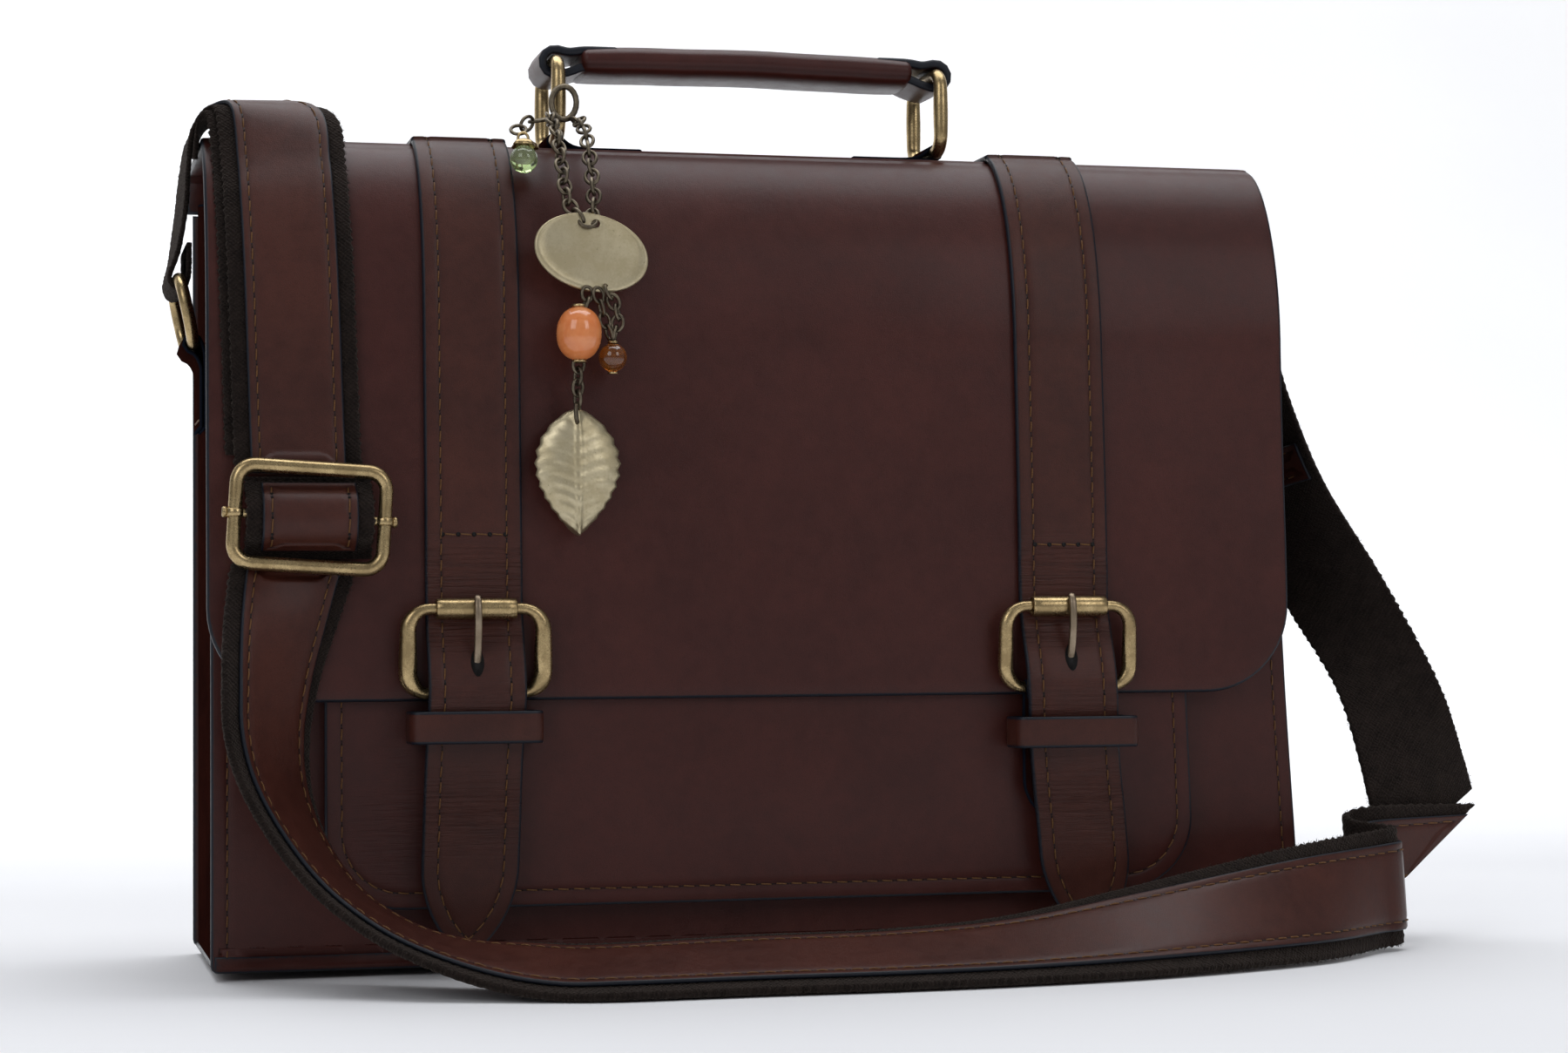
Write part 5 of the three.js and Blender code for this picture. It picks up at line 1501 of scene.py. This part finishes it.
def build_charm():
    parts = Parts()
    chain(parts, [[-71.3, -29.5, 283], [-72, -37.5, 281], [-72.2, -49, 274], [-72.2, -58, 262],
                  [-71.5, -65, 250],
                  [-67.6, -68.4, 243.2]])
    parts.build("charm_links_left", [CHAIN], "charm", ["charm_chain_left"])
    parts = Parts()
    chain(parts, [[-63, -30.5, 282], [-62.4, -38, 280.5], [-62.4, -49, 273.5], [-62.6, -58, 262],
                  [-63, -65, 250],
                  [-64.8, -68.4, 243.2]], roll=1.2)
    parts.build("charm_links_right", [CHAIN], "charm", ["charm_chain_right"])
    parts = Parts()
    link(parts, (-66.3, -28.6, 288.6), (0.25, 0.3, 1), (1, 0.2, 0), 6.2, 4.4, 1.05)
    parts.build("charm_clasp_ring", [CHAIN], "charm", ["charm_clasp"])

    parts = Parts()
    chain(parts, [[-66.2, -69.9, 221.2], [-66.6, -70.6, 217], [-68, -71, 214.6]], 3.6, 2.5, 1.9, 0.58)
    chain(parts, [[-63, -69.9, 221.2], [-61.2, -70.2, 213], [-58.6, -70, 205]], 3.8, 2.6, 1.9, 0.58)
    chain(parts, [[-60, -70, 221.8], [-56.4, -70.4, 213], [-57.6, -70, 205]], 3.8, 2.6, 1.9, 0.58, 1.2)
    chain(parts, [[-69.3, -70.6, 198.4], [-69.5, -70, 190], [-69.5, -69.4, 183.6]], 4.0, 2.8, 2.0, 0.6)
    link(parts, (-65.8, -68.6, 243.6), (0.1, 0.8, 1), (1, 0, 0), 3.1, 3.0, 0.62)
    link(parts, (-84.2, -43.5, 276.5), (0.5, 1, 0.7), (1, 0, 0), 3.4, 2.5, 0.6)
    link(parts, (-80.4, -37.5, 279.6), (0.8, 0.8, 0.3), (0, -0.5, 1), 3.6, 2.5, 0.6)
    link(parts, (-75.8, -33.0, 281.6), (0.8, 0.6, 0.25), (0, 1, 0.2), 3.6, 2.5, 0.6)
    parts.build("charm_links_lower", [CHAIN], "charm", ["charm_chain_lower"])

    parts = Parts()
    sphere = [(4.6 * math.sin(a),
               max(0.0, 4.6 * math.cos(a))) for a in np.linspace(-math.pi / 2, math.pi / 2, 19)]
    sphere[0], sphere[-1] = (-4.6, 0), (4.6, 0)
    parts.add(*lathe(sphere, (-83.4, -49.5, 265.8), (0.1, 0.15, 1), 36))
    parts.build("charm_green_drop", [GREEN], "charm", ["charm_green_bead"])
    parts = Parts()
    parts.add(*lathe(sphere, (-58, -70, 199), (0, 0, 1), 36))
    parts.build("charm_amber_drop", [AMBER], "charm", ["charm_amber_bead"])
    parts = Parts()
    barrel = [(-8.6, 0), (-8.6, 1.4), (-8.3, 2.6), (-7.6, 4.0), (-6.2, 5.5), (-4, 6.7), (-1.5, 7.25),
              (1.5, 7.25),
              (4, 6.7), (6.2, 5.5), (7.6, 4.0), (8.3, 2.6), (8.6, 1.4), (8.6, 0)]
    barrel = smooth_profile(barrel)
    parts.add(*lathe(barrel, (-69.2, -71, 206.5), (0.04, 0, 1), 40))
    parts.build("charm_orange_drop", [ORANGE], "charm", ["charm_orange_bead"])

    parts = Parts()
    cap = [(-1.4, 0.9), (-1.3, 2.2), (-0.4, 3.6), (0.9, 4.3), (1.2, 4.1), (0.2, 3.2), (-0.6, 2.0),
           (-0.9, 0.9)]
    points, faces = lathe(cap, (-82.9, -48.7, 271.0), (-0.1, -0.15, -1), 40)
    centre = np.array([-82.9, -48.7, 271.0])
    angle = np.arctan2(points[:, 1] - centre[1], points[:, 0] - centre[0])
    reach = np.hypot(points[:, 0] - centre[0], points[:, 1] - centre[1])
    petal = 1 + 0.13 * np.cos(5 * angle) * np.clip((reach - 1.5) / 2.5, 0, 1)
    points[:, :2] = centre[:2] + (points[:, :2] - centre[:2]) * petal[:, None]
    parts.add(points, faces)
    link(parts, (-83.2, -46.9, 273.2), (0.1, 0.3, 1), (1, 0, 0), 2.0, 1.7, 0.5)
    for low, axis in (((-69.2, -71, 215.5), (0, 0, 1)), ((-69.2, -71, 197.6), (0, 0, -1))):
        ring = [(-0.6, 1.0), (-0.5, 2.3), (0.2, 2.5), (0.5, 1.9), (0.6, 1.0)]
        parts.add(*lathe(ring, low, axis, 24))
    for low in ((-58, -70, 204.0), (-58, -70, 194.1)):
        parts.add(*lathe([(-0.5, 0.5), (-0.4, 1.7), (0.3, 1.6), (0.5, 0.5)], low, (0, 0, 1), 20))
    parts.build("charm_cap_flower", [BRASS], "charm", ["charm_bead_cap"])
    build_tag()
    build_leaf()


def smooth_profile(profile):
    line = smooth_line([(a, r) for a, r in profile[1:-1]], 3)
    return [profile[0]] + [(a, r) for a, r in line] + [profile[-1]]


def build_tag():
    """A plain oval tag with a rolled rim and a hole for its ring."""
    count = 72
    turn = np.arange(count) * 2 * math.pi / count
    hole_middle, hole_radius = np.array([-0.6, 9.6]), 1.3
    tilt = math.radians(12)
    across = np.array([math.cos(tilt), 0, -math.sin(tilt)])
    up = np.array([math.sin(tilt), 0, math.cos(tilt)])
    centre = np.array([-64.6, -68.6, 233])

    half_wide, half_tall = 19, 12.6

    def ring(t, height):
        hole = hole_middle + hole_radius * np.stack([np.cos(turn), np.sin(turn)], 1)
        rim = np.stack([half_wide * np.cos(turn), half_tall * np.sin(turn)], 1)
        flat = hole + (rim - hole) * t
        dome = 0.5 * (1 - (flat[:, 0] / half_wide) ** 2 - (flat[:, 1] / half_tall) ** 2)
        depth = height + np.maximum(dome, 0) * (1 if height > 0 else 0.9)
        inward = np.outer(-depth, (0, 1, 0))
        return centre + np.outer(flat[:, 0], across) + np.outer(flat[:, 1], up) + inward

    front = [(0.0, 0.35), (0.015, 0.55), (0.05, 0.6), (0.2, 0.58), (0.4, 0.56), (0.6, 0.55), (0.78, 0.55),
             (0.885, 0.56), (0.905, 0.72), (0.94, 0.82), (0.975, 0.74), (0.995, 0.4)]
    back = [(1.0, 0.0), (0.99, -0.45), (0.96, -0.62), (0.7, -0.62), (0.4, -0.62), (0.1, -0.62),
            (0.02, -0.55),
            (0.0, -0.3)]
    rows = [ring(t, h) for t, h in front + back]
    faces = []
    for i in range(len(rows)):
        j = (i + 1) % len(rows)
        for s in range(count):
            e = (s + 1) % count
            faces.append((i * count + s, i * count + e, j * count + e, j * count + s))
    add_object("charm_tag_plate", np.concatenate(rows), faces, [SATIN], "charm",
               ["charm_tag"])


def build_leaf():
    """A plain pressed-metal leaf with a midrib and side veins, hung by a ring."""
    top = np.array([-69.5, -69.0, 182.6])
    length, rows, columns = 41.5, 44, 20
    s = np.linspace(0, 1, rows + 1)[1:-1]
    half = 15.3 * np.sin(math.pi * s ** 0.82) ** 0.8 * (1 - 0.25 * s)
    half = half * (1 + 0.035 * np.sin(s * math.pi * 22))
    front, back = [], []
    for t, w in zip(s, half):
        u = np.linspace(-1, 1, columns + 1)
        x = u * w
        z = -length * t - 2.0 * np.abs(u) ** 1.5 * math.sin(math.pi * t)
        vein = np.cos((t * 34 + np.abs(u) * 5.2) * 2.0)
        ridge = 0.9 * np.exp(-(x / 0.8) ** 2) + 0.22 * vein * np.clip(1 - np.abs(u), 0, 1) ** 0.3
        curl = -2.2 * u ** 2 + 1.6 * math.sin(math.pi * t) + 1.2 * t
        thin = 0.75 * (1 - 0.6 * np.abs(u) ** 6)
        front.append(np.column_stack([top[0] + x, top[1] - (curl + ridge * (1 - np.abs(u) ** 8) + thin),
                                      top[2] + z]))
        back.append(np.column_stack([top[0] + x, top[1] - (curl - thin * 0.2), top[2] + z]))
    n = columns + 1
    rings = [np.concatenate([f, b[::-1]]) for f, b in zip(front, back)]
    m = 2 * n
    points = np.concatenate(rings + [[top + (0, -0.4, 0)], [top + (0, -1.6, -length)]])
    faces = []
    for i in range(len(rings) - 1):
        for k in range(m):
            e = (k + 1) % m
            faces.append((i * m + k, i * m + e, (i + 1) * m + e, (i + 1) * m + k))
    first, last = len(rings) * m, len(rings) * m + 1
    for k in range(m):
        e = (k + 1) % m
        faces.append((first, e, k))
        faces.append((last, (len(rings) - 1) * m + k, (len(rings) - 1) * m + e))
    add_object("charm_leaf_plate", points, faces, [SATIN], "leaf", ["charm_leaf"])
    parts = Parts()
    link(parts, (-69.5, -69.6, 180.8), (0, 0.1, 1), (0.4, 1, 0), 3.3, 2.9, 0.75)
    parts.build("charm_leaf_ring", [CHAIN], "leaf")


# ---- floor and light ----

def build_stage():
    floor_line = [(-2.6, 0.0), (-1.0, 0.0), (0.3, 0.0), (1.4, 0.0)]
    bend = [(1.4 + 1.2 * math.sin(a), 1.2 - 1.2 * math.cos(a)) for a in np.linspace(0.1, math.pi / 2, 14)]
    wall = [(2.6, 2.0), (2.6, 4.5)]
    line = floor_line + bend + wall
    mesh = bpy.data.meshes.new("backdrop")
    points = [(x, y, z - 0.0002) for y, z in line for x in (-4.5, 4.5)]
    mesh.from_pydata(points, [], [(2 * i, 2 * i + 1, 2 * i + 3, 2 * i + 2) for i in range(len(line) - 1)])
    mesh.polygons.foreach_set("use_smooth", np.ones(len(mesh.polygons), bool))
    paper = Shader("pale_glowing_paper")
    tone = paper.band(paper.noise(paper.place(), 3.0, 2.0), 0.3, 0.7, 0.0, 1.0)
    paper.set(Base_Color=paper.mix(tone, colour(0.8, 0.8, 0.815), colour(0.84, 0.84, 0.85)), Roughness=0.9)
    # The paper glows more the further back it lies: painted light that keeps the backdrop white, though it
    # is no lamp.
    away = paper.node("ShaderNodeSeparateXYZ", {0: paper.place()})
    glow = paper.band(away.outputs[1], 0.3, 1.5, 0.0, 0.45)
    paper.set(Emission_Color=colour(1, 1, 1), Emission_Strength=glow)
    mesh.materials.append(paper.material)
    backdrop = bpy.data.objects.new("backdrop", mesh)
    bpy.context.scene.collection.objects.link(backdrop)


def add_light(name, place, target, size, power, tint=(1, 1, 1)):
    data = bpy.data.lights.new(name, "AREA")
    data.shape = "RECTANGLE"
    data.size, data.size_y = size
    data.energy = power
    data.color = tint
    lamp = bpy.data.objects.new(name, data)
    lamp.location = place
    lamp.rotation_euler = (Vector(target) - Vector(place)).to_track_quat("-Z", "Y").to_euler()
    bpy.context.scene.collection.objects.link(lamp)


def build_light():
    world = bpy.data.worlds.new("studio")
    world.use_nodes = True
    world.node_tree.nodes["Background"].inputs["Color"].default_value = (0.93, 0.95, 1.0, 1)
    world.node_tree.nodes["Background"].inputs["Strength"].default_value = 0.25
    bpy.context.scene.world = world
    add_light("overhead", (0.1, 0.35, 2.3), (0, 0.1, 0), (2.8, 1.8), 48, (0.95, 0.97, 1.0))
    add_light("front_left", (-1.7, -1.9, 1.5), (0, 0, 0.15), (1.3, 1.5), 13, (0.96, 0.97, 1.0))
    add_light("front_right", (1.2, -2.1, 1.3), (0, 0, 0.12), (0.9, 1.2), 8, (0.98, 0.98, 1.0))
    scene = bpy.context.scene
    scene.view_settings.view_transform = "Standard"
    scene.view_settings.look = "None"


build_body()
build_flap()
for strap_side in ("left", "right"):
    build_closure(strap_side)
build_handle()
build_shoulder_strap()
build_slider()
build_side_rings()
build_charm()
build_stage()
build_light()
